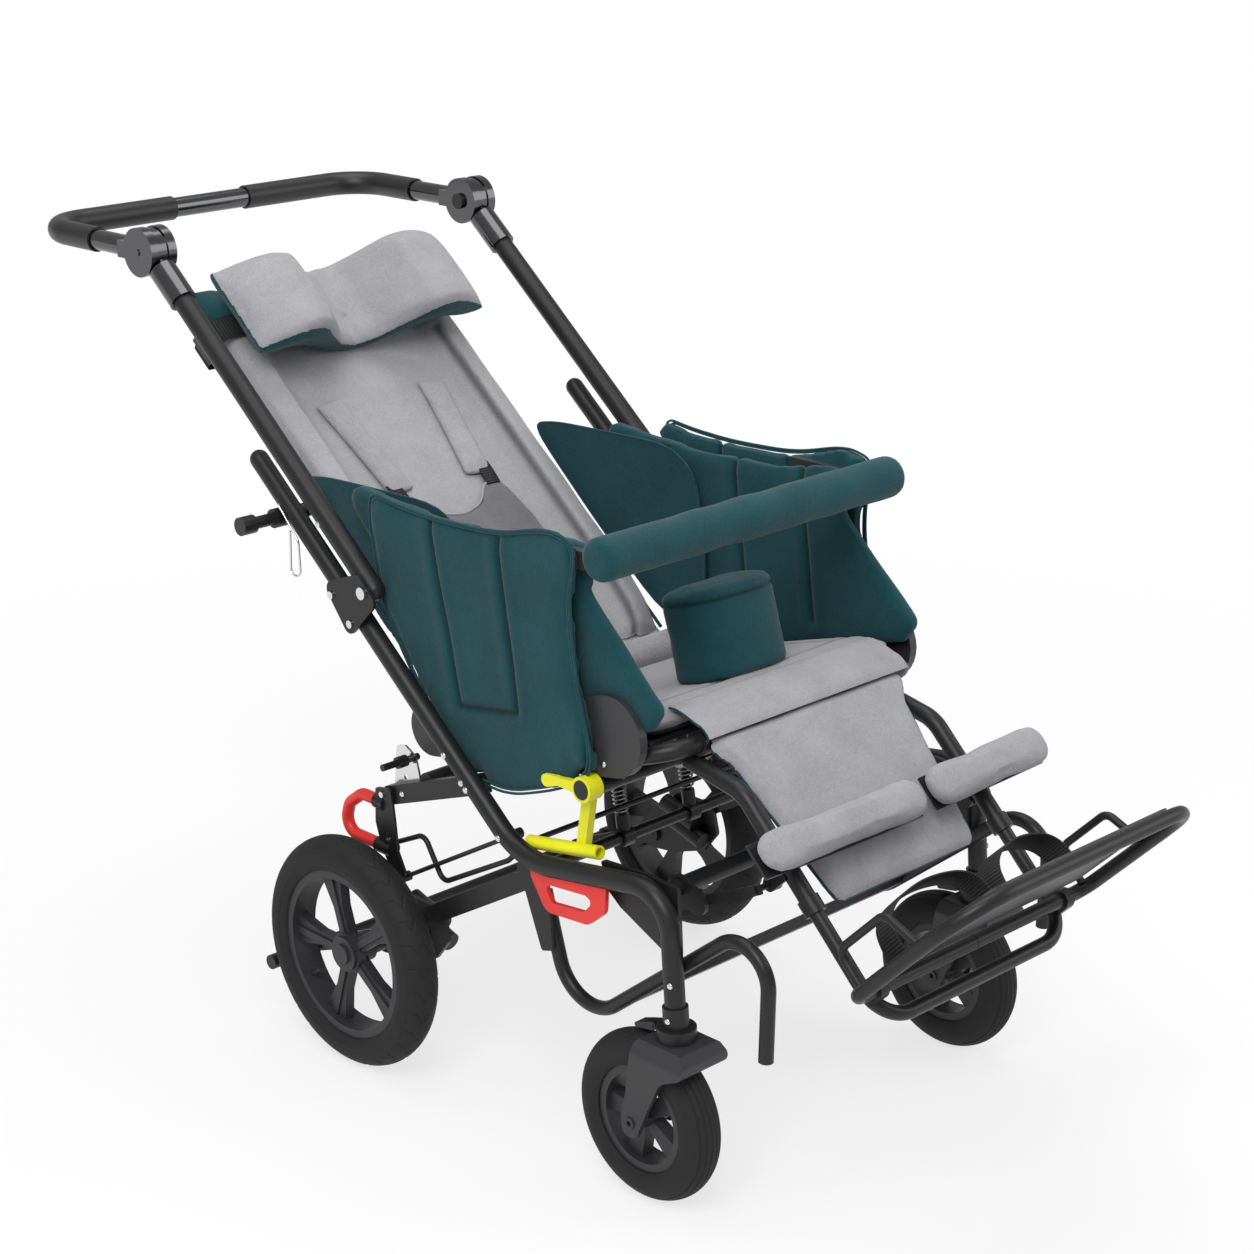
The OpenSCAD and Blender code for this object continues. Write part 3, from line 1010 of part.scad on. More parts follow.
// Legrest in its own frame: z up along the panel, y towards the rear
module leg_at() translate([0, leg_p[0], leg_p[1]]) rotate([-leg_slope, 0, 0]) children();
function leg_point(l, n) = leg_p + l * [sin(leg_slope), cos(leg_slope)] - n * [cos(leg_slope), -sin(leg_slope)];
module leg_rod(x, a, b, d) rod([x, -a[1], a[0]], [x, -b[1], b[0]], d);
module leg_cross(l, n, x0, x1, d) translate([x0, -n, l]) rotate([0, 90, 0]) cylinder(h = x1 - x0, d = d);
module legrest_hangers() color("#26272a") leg_at() {
  calf_shell(4 * small - calf_half, calf_right_end - 4 * small);
  calf_shell(calf_left_end + 10 * small, calf_half - 4 * small);
  both() difference() {
    union() {
      bent_tube([[half_hanger, -hanger_top[1], hanger_top[0]], [half_hanger, -hanger_mid[1], hanger_mid[0]],
                 [half_hanger, -hanger_low[1], hanger_low[0]]], [50 * small], hanger_d);
      leg_rod(half_hanger, hanger_low, hanger_low + [20 * small, 0], hanger_d + 5 * small);
      leg_cross(hinge_l, hinge_n, sleeve_x0, sleeve_x1, seat_rail_d + 9 * small);
      translate([sleeve_x0, -hinge_n + seat_rail_d / 2 + small, hanger_top[0] - 9 * small]) cube([sleeve_x1 - sleeve_x0, 14 * small, 18 * small]);
      translate([half_hanger, strut_lug_y, strut_pin_l]) rotate([0, 90, 0]) cylinder(h = hanger_d / 2 + 3 * small, d = 18 * small);
      translate([half_hanger + hanger_d / 2 - 3 * small, 0, strut_pin_l - 9 * small]) cube([6 * small, strut_lug_y, 18 * small]);
      leg_cross(strut_pin_l, strut_pin_n, half_hanger + hanger_d / 2, strut_x + strut_t / 2 + 4 * small, bolt_d);
      leg_cross(strut_pin_l, strut_pin_n, strut_x + strut_t / 2 + seat_gap, strut_x + strut_t / 2 + 4 * small, bolt_d * 1.6);
      // Arms and shells of the calf pads
      translate([half_hanger - 7 * small, -calf_arm, calf_l - 12 * small]) cube([14 * small, calf_arm, 24 * small]);
    }
    leg_cross(hinge_l, hinge_n, sleeve_x0 - small, sleeve_x1 + 3 * small, seat_rail_d + 2 * run_gap);
    leg_rod(half_hanger, hanger_low - [small, 0], [-100 * small, 0], foot_tube_d + 2 * run_gap);
  }
}
// Shell behind a calf pad, bowed as the pad is
function calf_curve(x) = calf_bow * pow(x / calf_half, 2);
module calf_shell(x0, x1) translate([0, 0, calf_l - calf_h * 0.8]) linear_extrude(calf_h * 1.6) polygon(concat(
  [for (k = [0:8]) let (x = x0 + (x1 - x0) * k / 8) [x, -calf_n - calf_shell_t / 2 - calf_curve(x)]],
  [for (k = [8:-1:0]) let (x = x0 + (x1 - x0) * k / 8) [x, -calf_n + calf_shell_t / 2 - calf_curve(x)]]));

function panel_half(l) = l > -30 * small ? leg_top_half - (l < -12 * small ? 0 : 0)
  : l > -46 * small ? leg_top_half + (leg_mid_half - leg_top_half) * (-30 * small - l) / (16 * small)
  : leg_mid_half + (leg_low_half - leg_mid_half) * (-46 * small - l) / (leg_panel_l - 38 * small);
module leg_panel() color("#b7b6ba") leg_at() difference() {
  ls = [for (k = [0:18]) -8 * small - leg_panel_l * (0.5 - 0.5 * cos(10 * k))];
  loft([for (k = [0:18]) let (e = max(0.3, bulge((k - 9) / 9 * 0.9999, 12)), low = k > 12 ? (k - 12) / 6 : 0,
    w = panel_half(ls[k]) * (1 - 0.14 * pow(low, 4))) panel_ring(w, e, ls[k])]);
  leg_cross(hinge_l, hinge_n, -half_hanger * 2, half_hanger * 2, seat_rail_d + 4 * small);
  both() leg_cross(hinge_l, hinge_n, sleeve_x0 - soft_gap, half_hanger * 2, seat_rail_d + 9 * small + 2 * soft_gap);
}
function panel_ring(w, e, l) = concat(
  [for (u = panel_us) [w * u, leg_panel_t / 2 * (1 - e * max(0.1, bulge(u * 0.9999, 16))), l]],
  [for (i = [len(panel_us) - 1:-1:0]) [w * panel_us[i], leg_panel_t / 2 * (1 + e * max(0.1, bulge(panel_us[i] * 0.9999, 16))), l]]);

module calf_pads() color("#b7b6ba") leg_at() {
  calf_pad((calf_right_end - calf_half) / 2, (calf_right_end + calf_half) / 2);
  calf_pad((calf_left_end + calf_half) / 2, (calf_half - calf_left_end) / 2);
}
module calf_pad(x, half) {
  n = 20;
  us = [for (k = [0:12]) -cos(15 * k)];
  loft([for (u = us) let (e = max(0.35, bulge(u * 0.9999, 12)), curve = calf_curve(x + u * half)) [for (k = [0:n - 1])
    let (a = 360 * k / n, c = cos(a), s = sin(a))
    [x + u * half, -calf_n - calf_shell_t / 2 - seat_gap - calf_t / 2 - curve + calf_t / 2 * e * sign(c) * pow(abs(c), 0.6),
     calf_l + calf_h * e * sign(s) * pow(abs(s), 0.7)]]]);
}

module leg_struts() color("#26272a") both() {
  k = spot(keeper_share);
  v = unit(k - strut_pin);
  difference() {
    flat_bar(strut_pin - v * strut_h * 0.8, k + v * strut_tail, strut_x, strut_h, strut_t);
    cross_rod(strut_pin, 0, 2 * half_track, bolt_d + 2 * run_gap);
  }
}

module foot_tubes() color("#232427") leg_at() {
  difference() {
    union() {
      bent_tube([[half_hanger, 0, -112 * small], [half_hanger, 0, foot_cross_l], [-half_hanger, 0, foot_cross_l], [-half_hanger, 0, -112 * small]],
        [47 * small, 47 * small], foot_tube_d);
      both() {
        translate([half_hanger - 7 * small, -foot_axis_n, plate_l - 13 * small]) cube([14 * small, foot_axis_n, 26 * small]);
        leg_cross(plate_l, foot_axis_n, half_hanger - 7 * small, half_hanger + 7 * small, 26 * small);
      }
    }
    leg_cross(plate_l, foot_axis_n, -half_hanger * 2, half_hanger * 2, foot_d + 2 * run_gap);
  }
}
module foot_frame() color("#232427") leg_at() {
  n0 = foot_axis_n;
  n1 = foot_axis_n + foot_l;
  bent_tube([[0, -n0, plate_l], [foot_half, -n0, plate_l], [foot_half, -n1, plate_l], [-foot_half, -n1, plate_l], [-foot_half, -n0, plate_l], [-small, -n0, plate_l]],
    [24, 70, 70, 24] * small, foot_d);
  both() bent_tube([[hoop_x, -n0 - 12 * small, plate_l + foot_d * 0.3], [hoop_x, -n0 - 12 * small, plate_l + 55 * small], [hoop_x, -n0 - 104 * small, plate_l + 55 * small],
    [hoop_x, -n0 - 124 * small, plate_l + foot_d * 0.3]], [16, 16] * small, hoop_d);
}
module foot_plate() color("#3b3c40") leg_at() {
  z = plate_l + foot_d / 2 + seat_gap;
  translate([0, 0, z]) linear_extrude(3 * small) polygon(soft_corners(
    [[-foot_half + 30 * small, -foot_axis_n - 24 * small], [foot_half - 30 * small, -foot_axis_n - 24 * small],
     [foot_half - 20 * small, -foot_axis_n - foot_l * 0.6], [foot_half - 52 * small, -foot_axis_n - foot_l + 1 * small],
     [-foot_half + 52 * small, -foot_axis_n - foot_l + small], [-foot_half + 20 * small, -foot_axis_n - foot_l * 0.6]], [10, 10, 60, 30, 30, 60] * small));
}
module foot_straps() color("#1b1b1d") leg_at() for (s = [-1, 1])
  translate([s * 82 * small, -foot_axis_n - 34 * small, plate_l + foot_d / 2 + 3 * small + 2 * seat_gap])
    rotate([0, 0, s * 8]) rotate([90, 0, 0]) linear_extrude(strap_w) difference() {
      polygon(soft_corners([[-76, 0], [76, 0], [64, 62], [0, 92], [-64, 62]] * small, [30, 30, 40, 60, 40] * small));
      polygon(soft_corners([[-73, 3], [73, 3], [62, 60], [0, 88.6], [-62, 60]] * small, [27, 27, 37, 57, 37] * small));
    }

// Yellow mounts at the ends of the yoke tube
module seat_mounts() color("#e6df1f") both() {
  y = spots(yellow_shares);
  difference() {
    union() {
      rod(in3(yellow_x, y[0]), in3(yellow_x, y[1]), yellow_d);
      flat_bar(y[0] * 0.3 + y[1] * 0.7, yoke, yellow_in + 6 * small, 15 * small, 11 * small);
      cross_rod(yoke, yellow_in, yellow_in + yellow_len, yoke_d + 8 * small);
    }
    cross_rod(yoke, 0, half_track, yoke_d + 2 * seat_gap);
    rod(in3(yellow_x, y[1] + (y[0] - y[1]) * 0.12), in3(yellow_x, y[1] + (y[1] - y[0]) * 0.1), yellow_d * 0.7);
    bent_tube(side_path, side_radii, tube_d + 2 * seat_gap);
  }
}
module lock_lever(side) color("#e6df1f") mirror([side < 0 ? 1 : 0, 0, 0]) difference() {
  p = spots(paddle_shares);
  x = yellow_in + yellow_len + seat_gap;
  union() {
    cross_rod(yoke, x, x + 9 * small, yoke_d + 8 * small);
    side_cut(x, 8 * small) polygon(capsule(yoke, 8 * small, p[1], 5 * small, 8));
    side_cut(x, 8 * small) polygon(capsule(p[1], 6 * small, p[0], 8 * small, 8));
  }
  cross_rod(yoke, 0, 2 * half_track, yoke_d + 2 * run_gap);
}
module lock_lever_right() lock_lever(-1);
module lock_lever_left() lock_lever(1);
module tilt_lever() color("#d9d8cf") difference() {
  p = spots(lever_shares);
  union() {
    cross_rod(yoke, -110 * small, -96 * small, yoke_d + 8 * small);
    side_cut(-107 * small, 8 * small) polygon(capsule(yoke, 12 * small, p[0], 6 * small, 8));
  }
  cross_rod(yoke, -120 * small, -80 * small, yoke_d + 2 * run_gap);
}

side_tubes();
support_tubes();
cross_tubes();
rear_rails();
frame_plates();
tie_downs();
rear_arms();
damper_bodies();
damper_springs();
basket_frame();
caster_heads();
caster_fork_right();
caster_fork_left();
caster_rim_right();
caster_rim_left();
caster_tyre_right();
caster_tyre_left();
caster_lock_right();
caster_lock_left();
rear_rim_right();
rear_rim_left();
rear_tyre_right();
rear_tyre_left();
brake_pedal();
push_tubes();
handle_sockets();
handle_bar();
handle_grips();
handle_button_right();
handle_button_left();
pivot_bolts();
wire_clip_right();
wire_clip_left();
recline_knob_right();
recline_knob_left();
seat_frame();
side_plates();
seat_cushion();
side_panels();
side_flaps();
pommel();
grab_bar_frame();
grab_bar_sleeve();
back_shell();
back_pad();
headrest();
harness();
legrest_hangers();
leg_panel();
calf_pads();
leg_struts();
foot_tubes();
foot_frame();
foot_plate();
foot_straps();
seat_mounts();
lock_lever_right();
lock_lever_left();
tilt_lever();
frame_plunger();
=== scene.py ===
# %% [markdown]
# # A special needs stroller, dressed over its frame
# The metal frame, wheels and hinges come from a measured model and stay as they are. This file gives every
# surface its finish and makes the soft parts: plush pads, stitched side panels, webbing and piping.
# Everything is in metres, the front points to -Y, and each piece rides on the body that carries it.

# %% Frame and libraries
import json
import math

import bmesh
import bpy
import numpy as np
from mathutils import Matrix, Vector
from mathutils.bvhtree import BVHTree


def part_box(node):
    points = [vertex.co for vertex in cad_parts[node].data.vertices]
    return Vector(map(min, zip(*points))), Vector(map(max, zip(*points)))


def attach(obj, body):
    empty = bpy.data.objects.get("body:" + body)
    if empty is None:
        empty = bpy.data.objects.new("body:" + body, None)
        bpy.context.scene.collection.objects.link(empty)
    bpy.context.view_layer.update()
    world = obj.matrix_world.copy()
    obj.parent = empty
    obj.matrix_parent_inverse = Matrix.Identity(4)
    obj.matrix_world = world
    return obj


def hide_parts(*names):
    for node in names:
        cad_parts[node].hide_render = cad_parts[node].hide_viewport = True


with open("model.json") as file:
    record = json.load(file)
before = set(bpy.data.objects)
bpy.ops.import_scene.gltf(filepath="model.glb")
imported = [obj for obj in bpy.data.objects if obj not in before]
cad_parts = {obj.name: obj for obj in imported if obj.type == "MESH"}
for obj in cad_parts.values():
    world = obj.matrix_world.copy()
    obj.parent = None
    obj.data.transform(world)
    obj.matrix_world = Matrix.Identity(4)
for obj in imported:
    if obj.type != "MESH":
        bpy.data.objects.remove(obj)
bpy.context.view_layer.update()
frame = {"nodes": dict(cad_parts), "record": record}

scene = bpy.context.scene
MM = 0.001

# %% [markdown]
# ## The camera
# The photograph was taken with a long lens, a little above the seat and 44 degrees off the front.
# The camera's three axes are written as one matrix: right, up, and the way back from the object.

# %% Camera
CAMERA_TARGET = np.array([0.0, -0.0676, 0.5732])
CAMERA_AZIMUTH = math.radians(-44.21)
CAMERA_ELEVATION = math.radians(18.49)
CAMERA_ROLL = math.radians(-0.443)
CAMERA_DISTANCE = 3.4381
FOCAL_PIXELS = 2689.9
PHOTO_PIXELS = 1254
SENSOR_MM = 36.0


def camera_axes(azimuth, elevation, roll):
    """Unit right, up and back: back points from the target to the camera, then right and up turn by the roll."""
    back = np.array([math.sin(azimuth) * math.cos(elevation), -math.cos(azimuth) * math.cos(elevation),
                     math.sin(elevation)])
    right = np.array([math.cos(azimuth), math.sin(azimuth), 0.0])
    up = np.cross(back, right)
    c, s = math.cos(roll), math.sin(roll)
    return c * right + s * up, c * up - s * right, back


right, up, back = camera_axes(CAMERA_AZIMUTH, CAMERA_ELEVATION, CAMERA_ROLL)
camera = bpy.data.objects.new("camera", bpy.data.cameras.new("camera"))
scene.collection.objects.link(camera)
place = CAMERA_TARGET + CAMERA_DISTANCE * back
camera.matrix_world = Matrix([[right[i], up[i], back[i], place[i]] for i in range(3)] + [[0, 0, 0, 1]])
camera.data.sensor_width = SENSOR_MM
camera.data.lens = FOCAL_PIXELS / PHOTO_PIXELS * SENSOR_MM
camera.data.clip_end = 60
scene.camera = camera
scene.view_settings.view_transform = "Standard"
print("camera at", np.round(place, 3), "lens", round(camera.data.lens, 1), "mm")

# %% [markdown]
# ## Shader maths as expressions
# A material is easier to read as arithmetic than as a list of links. `Value` wraps one socket, and each operator
# adds the Math node it stands for, so `1 - mask * 0.3` builds two nodes.

# %% Shader helpers
class Value:
    """One output socket of a node tree, with arithmetic that adds Math nodes."""

    def __init__(self, paint, socket):
        self.paint, self.socket = paint, socket

    def _math(self, operation, a, b):
        return self.paint.node("ShaderNodeMath", {"operation": operation}, {0: a, 1: b})

    def __add__(self, other): return self._math("ADD", self, other)
    def __radd__(self, other): return self._math("ADD", other, self)
    def __sub__(self, other): return self._math("SUBTRACT", self, other)
    def __rsub__(self, other): return self._math("SUBTRACT", other, self)
    def __mul__(self, other): return self._math("MULTIPLY", self, other)
    def __rmul__(self, other): return self._math("MULTIPLY", other, self)
    def __gt__(self, other): return self._math("GREATER_THAN", self, other)


class Paint:
    """A new material: node() adds any node, with its settings first and then the values or links of its sockets."""

    def __init__(self, name, **constants):
        self.material = bpy.data.materials.new(name)
        self.material.use_nodes = True
        self.tree = self.material.node_tree
        self.shader = self.tree.nodes["Principled BSDF"]
        for key, value in constants.items():
            self.shader.inputs[key.replace("_", " ")].default_value = value

    def put(self, socket, value):
        if isinstance(value, Value):
            self.tree.links.new(value.socket, socket)
        else:
            socket.default_value = value

    def node(self, kind, settings=None, sockets=None, out=0):
        made = self.tree.nodes.new(kind)
        for key, value in (settings or {}).items():
            setattr(made, key, value)
        for key, value in (sockets or {}).items():
            self.put(made.inputs[key], value)
        return Value(self, made.outputs[out])

    def coordinates(self):
        return self.node("ShaderNodeTexCoord", out="Object")

    def stretched(self, x, y, z):
        return self.node("ShaderNodeMapping", {"vector_type": "POINT"}, {"Vector": self.coordinates(), "Scale": (x, y, z)})

    def noise(self, scale, detail=2.0, vector=None, roughness=0.5, distortion=0.0):
        return self.node("ShaderNodeTexNoise", {}, {"Vector": vector or self.coordinates(), "Scale": scale,
                                                    "Detail": detail, "Roughness": roughness, "Distortion": distortion})

    def attribute(self, name):
        return self.node("ShaderNodeAttribute", {"attribute_name": name}, out="Fac")

    def blend(self, mask, low, high):
        """Colour low where the mask is 0 and high where it is 1."""
        made = self.tree.nodes.new("ShaderNodeMix")
        made.data_type = "RGBA"
        self.put(made.inputs[0], mask)
        self.put(made.inputs[6], low)
        self.put(made.inputs[7], high)
        return Value(self, made.outputs[2])

    def range(self, value, low, high, to_low, to_high):
        return self.node("ShaderNodeMapRange", {}, {0: value, 1: low, 2: high, 3: to_low, 4: to_high})

    def bump(self, height, distance, strength=1.0):
        return self.node("ShaderNodeBump", {}, {"Height": height, "Distance": distance, "Strength": strength})

    def done(self, **links):
        for key, value in links.items():
            self.put(self.shader.inputs[key.replace("_", " ")], value)
        return self.material


def shade(rgb, factor):
    """A colour times a factor, as the four numbers that a socket takes."""
    return tuple(min(1.0, c * factor) for c in rgb) + (1.0,)

# %% [markdown]
# ## Finishes of the hard parts
# Powder coat is a matt paint with a fine orange peel. Moulded plastic has a finer, even grain. Rubber is duller and
# slightly dusty. Each is one function, so that red, yellow and black paint are the same finish in another colour.

# %% Hard finishes
def powder_coat(name, rgb, rough=0.42, peel=0.00006):
    paint = Paint(name, Specular_IOR_Level=0.34)
    cloud = paint.noise(9.0, 3.0)
    peel_noise = paint.noise(1500.0, 1.0)
    return paint.done(Base_Color=paint.blend(paint.range(cloud, 0.3, 0.7, 0, 1), shade(rgb, 0.88), shade(rgb, 1.12)),
                      Roughness=rough + 0.16 * (cloud - 0.5), Normal=paint.bump(peel_noise, peel))


def moulded(name, rgb, rough=0.5, grain=0.00008):
    paint = Paint(name, Specular_IOR_Level=0.45)
    cloud = paint.noise(14.0, 2.0)
    fine = paint.noise(2600.0, 1.0)
    return paint.done(Base_Color=paint.blend(cloud, shade(rgb, 0.85), shade(rgb, 1.15)),
                      Roughness=rough + 0.12 * (cloud - 0.5), Normal=paint.bump(fine, grain))


def rubber(name, rgb):
    paint = Paint(name, Specular_IOR_Level=0.3)
    dust = paint.noise(34.0, 4.0)
    fine = paint.noise(1800.0, 2.0)
    return paint.done(Base_Color=paint.blend(paint.range(dust, 0.35, 0.75, 0, 1), shade(rgb, 0.9), shade(rgb, 1.35)),
                      Roughness=paint.range(dust, 0.3, 0.7, 0.62, 0.8), Normal=paint.bump(fine, 0.0001))


def polished(name, rgb, rough):
    paint = Paint(name, Metallic=1.0)
    streak = paint.noise(60.0, 3.0, paint.stretched(1, 1, 6))
    return paint.done(Base_Color=paint.blend(streak, shade(rgb, 0.92), shade(rgb, 1.05)),
                      Roughness=rough + 0.1 * streak)

# %% [markdown]
# ## Plush, webbing and piping
# The covers are a short pile: light fibres lie this way and that in soft swirls, which shows as clouds of two near
# shades and a fine nap. The vertex attribute `tint` says where a cover changes from its first to its second colour,
# and the attribute for the seams holds painted shade, which darkens the valley of a stitched seam towards black.

# %% Soft finishes
TEAL = (0.0078, 0.057, 0.069)
GREY = (0.33, 0.325, 0.345)
HARNESS_GREY = (0.155, 0.155, 0.165)


def plush(name, first, second=None, contrast=1.0):
    paint = Paint(name, Specular_IOR_Level=0.18, Sheen_Weight=0.16, Sheen_Roughness=0.45)
    cloud = paint.noise(17.0, 4.0, roughness=0.6)
    stroke = paint.noise(150.0, 2.0, roughness=0.5, distortion=2.6)
    nap = paint.noise(1150.0, 2.0, roughness=0.7)
    mix = paint.range(0.42 * cloud + 0.42 * stroke + 0.16 * nap, 0.36, 0.64, 0, 1)
    colour = paint.blend(mix, shade(first, 1 - 0.2 * contrast), shade(first, 1 + 0.2 * contrast))
    if second is not None:
        other = paint.blend(mix, shade(second, 1 - 0.2 * contrast), shade(second, 1 + 0.2 * contrast))
        colour = paint.blend(paint.attribute("tint") > 0.5, colour, other)
    # painted shade: the colour is darkened towards black along the seam valleys, where shade falls
    colour = paint.blend(0.6 * paint.attribute("seam"), colour, (0.0, 0.0, 0.0, 1.0))
    return paint.done(Base_Color=colour, Roughness=paint.range(stroke, 0.3, 0.7, 0.82, 0.95),
                      Normal=paint.bump(0.8 * nap + 1.1 * stroke, 0.0007, 0.8))


def webbing(name, rgb, rib=0.0042):
    """Ribs run across the strap: the strap's u counts metres along it, and a sine of u makes the ribs."""
    paint = Paint(name, Specular_IOR_Level=0.25)
    u = paint.node("ShaderNodeUVMap", {"uv_map": "strap"})
    along = paint.node("ShaderNodeSeparateXYZ", {}, {0: u}, out=0)
    wave = paint.node("ShaderNodeMath", {"operation": "SINE"}, {0: along * (2 * math.pi / rib)})
    weave = paint.noise(1500.0, 1.0)
    mask = 0.5 + 0.4 * wave + 0.2 * (weave - 0.5)
    # painted light and shade: rib crests are painted lighter and rib hollows darker; the weave noise adds a real random
    # tone
    return paint.done(Base_Color=paint.blend(mask, shade(rgb, 0.6), shade(rgb, 1.7)),
                      Roughness=0.92 - 0.22 * mask, Normal=paint.bump(mask, 0.0006, 0.9))


FINISH = {
    "frame_black": powder_coat("frame_black", (0.0135, 0.0135, 0.0145), 0.4),
    "fork_grey": moulded("fork_grey", (0.028, 0.028, 0.031), 0.52),
    "tyre": rubber("tyre", (0.0145, 0.0145, 0.015)),
    "black_plastic": moulded("black_plastic", (0.012, 0.012, 0.013), 0.4),
    "handle_metal": polished("handle_metal", (0.115, 0.115, 0.12), 0.13),
    "grip": moulded("grip", (0.013, 0.013, 0.014), 0.36, 0.00012),
    "red": powder_coat("red", (0.72, 0.035, 0.03), 0.38),
    "yellow": powder_coat("yellow", (0.8, 0.78, 0.015), 0.38),
    "ivory": moulded("ivory", (0.62, 0.6, 0.5), 0.35),
    "chrome": polished("chrome", (0.72, 0.72, 0.73), 0.12),
    "spring_steel": polished("spring_steel", (0.3, 0.3, 0.31), 0.3),
    "dark_plate": moulded("dark_plate", (0.03, 0.03, 0.033), 0.45),
    "bar_black": powder_coat("bar_black", (0.014, 0.014, 0.015), 0.42),
    "teal_fabric": plush("teal_fabric", TEAL, GREY),
    "grey_fabric": plush("grey_fabric", GREY, TEAL, 0.7),
    "harness_grey": plush("harness_grey", HARNESS_GREY, GREY, 0.8),
    "webbing": webbing("webbing", (0.022, 0.022, 0.023)),
}
for part in frame["record"]["subparts"]:
    node = frame["nodes"][part["node"]]
    node.data.materials.clear()
    node.data.materials.append(FINISH[part["material_slot"]])

# %% [markdown]
# ## Meshes from arrays
# A surface is a grid of points worked out in one go. `surface` closes it round either way and shuts its ends,
# and `sweep` carries a small outline along a path, which makes piping, straps and wires.

# %% Mesh helpers
def grid_faces(rows, columns, wrap_rows=False, wrap_columns=False):
    """Quads of a grid whose points are numbered row by row; a wrapped direction joins its last line to its first."""
    r = np.arange(rows if wrap_rows else rows - 1)
    c = np.arange(columns if wrap_columns else columns - 1)
    i, j = np.meshgrid(r, c, indexing="ij")
    ni, nj = (i + 1) % rows, (j + 1) % columns
    return np.stack([i * columns + j, ni * columns + j, ni * columns + nj, i * columns + nj], -1).reshape(-1, 4)


def add_piece(name, points, faces, body, slot, finish=None, flip=False, uv=None):
    """Puts points and faces into a new smooth mesh that rides on a body, with outward faces."""
    mesh = bpy.data.meshes.new(name)
    mesh.from_pydata(np.asarray(points, float).reshape(-1, 3).tolist(), [], [list(map(int, f)) for f in faces])
    if uv is not None:
        layer = mesh.uv_layers.new(name="strap")
        loops = np.zeros(len(mesh.loops), np.int64)
        mesh.loops.foreach_get("vertex_index", loops)
        layer.data.foreach_set("uv", np.asarray(uv, np.float32).reshape(-1, 2)[loops].ravel())
    work = bmesh.new()
    work.from_mesh(mesh)
    bmesh.ops.recalc_face_normals(work, faces=work.faces)
    work.to_mesh(mesh)
    work.free()
    mesh.polygons.foreach_set("use_smooth", np.ones(len(mesh.polygons), bool))
    piece = bpy.data.objects.new(name, mesh)
    scene.collection.objects.link(piece)
    mesh.materials.append(finish or FINISH[slot])
    if body:
        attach(piece, body)
    return piece


def sweep(name, path, outline, body, slot, side=(1, 0, 0), closed=False, finish=None):
    """Carries an outline (two columns: across, out) along a path. At each point the across direction is the given side
    made square to the path, and out is square to both. Open ends are shut with one face each."""
    path = np.asarray(path, float)
    outline = np.asarray(outline, float)
    if closed:
        tangent = np.roll(path, -1, 0) - np.roll(path, 1, 0)
    else:
        tangent = np.gradient(path, axis=0)
    tangent /= np.linalg.norm(tangent, axis=1, keepdims=True)
    side = np.broadcast_to(np.asarray(side, float), path.shape)
    across = side - (side * tangent).sum(1, keepdims=True) * tangent
    across /= np.linalg.norm(across, axis=1, keepdims=True)
    out = np.cross(tangent, across)
    if outline.ndim == 2:
        outline = np.broadcast_to(outline, (len(path),) + outline.shape)
    points = path[:, None] + outline[..., :1] * across[:, None] + outline[..., 1:] * out[:, None]
    faces = [list(f) for f in grid_faces(len(path), points.shape[1], closed, True)]
    if not closed:
        count = points.shape[1]
        faces.append(list(range(count)))
        faces.append([(len(path) - 1) * count + k for k in range(count)][::-1])
    length = np.concatenate([[0], np.cumsum(np.linalg.norm(np.diff(path, axis=0), axis=1))])
    uv = np.stack(np.broadcast_arrays(length[:, None], outline[..., 0]), -1)
    return add_piece(name, points, faces, body, slot, finish, uv=uv)


def ring(radius, sides=8):
    """Points of a circle."""
    a = np.arange(sides) * 2 * math.pi / sides
    return radius * np.stack([np.cos(a), np.sin(a)], 1)


def curve(points, count=40, closed=False):
    """A smooth path through given points: Catmull-Rom, where each point's slope is half of the step between
    its neighbours, sampled evenly in the parameter."""
    p = np.asarray(points, float)
    if closed:
        q = np.concatenate([p[-1:], p, p[:2]])
        spans = len(p)
    else:
        q = np.concatenate([2 * p[:1] - p[1:2], p, 2 * p[-1:] - p[-2:-1]])
        spans = len(p) - 1
    t = np.linspace(0, spans, count, endpoint=not closed)
    i = np.minimum(t.astype(int), spans - 1)
    f = (t - i)[:, None]
    a, b, c, d = q[i], q[i + 1], q[i + 2], q[i + 3]
    return 0.5 * (2 * b + (c - a) * f + (2 * a - 5 * b + 4 * c - d) * f ** 2 + (3 * b - 3 * c + d - a) * f ** 3)


def rounded(corners, rounds=3, cut=0.2):
    """Cuts each corner of a closed outline again and again, which rounds it: both neighbours of a corner lie a fifth of
    the way along its edges (Chaikin's rule)."""
    p = np.asarray(corners, float)
    for _ in range(rounds):
        after = np.roll(p, -1, 0)
        p = np.stack([(1 - cut) * p + cut * after, cut * p + (1 - cut) * after], 1).reshape(-1, p.shape[1])
    return p

# %% [markdown]
# ## The three slopes
# The seat, the backrest and the legrest each have their own level plane. These functions turn a point in such a plane
# into the row frame: x across, then the distance along the slope, then the height above it.

# %% Slopes
SEAT_ORIGIN = np.array([0.0, 0.0028, 0.481])
LEG_ORIGIN = np.array([0.0, -0.3722, 0.560])
SEAT_TILT, BACK_TILT, LEG_TILT = math.radians(16.5), math.radians(39.9), math.radians(45)


def on_slope(origin, along, above):
    """A function from (x, distance along, height above) in metres to the row frame."""
    axes = np.array([[1, 0, 0], along, above], float)
    return lambda p: origin + np.asarray(p, float) @ axes


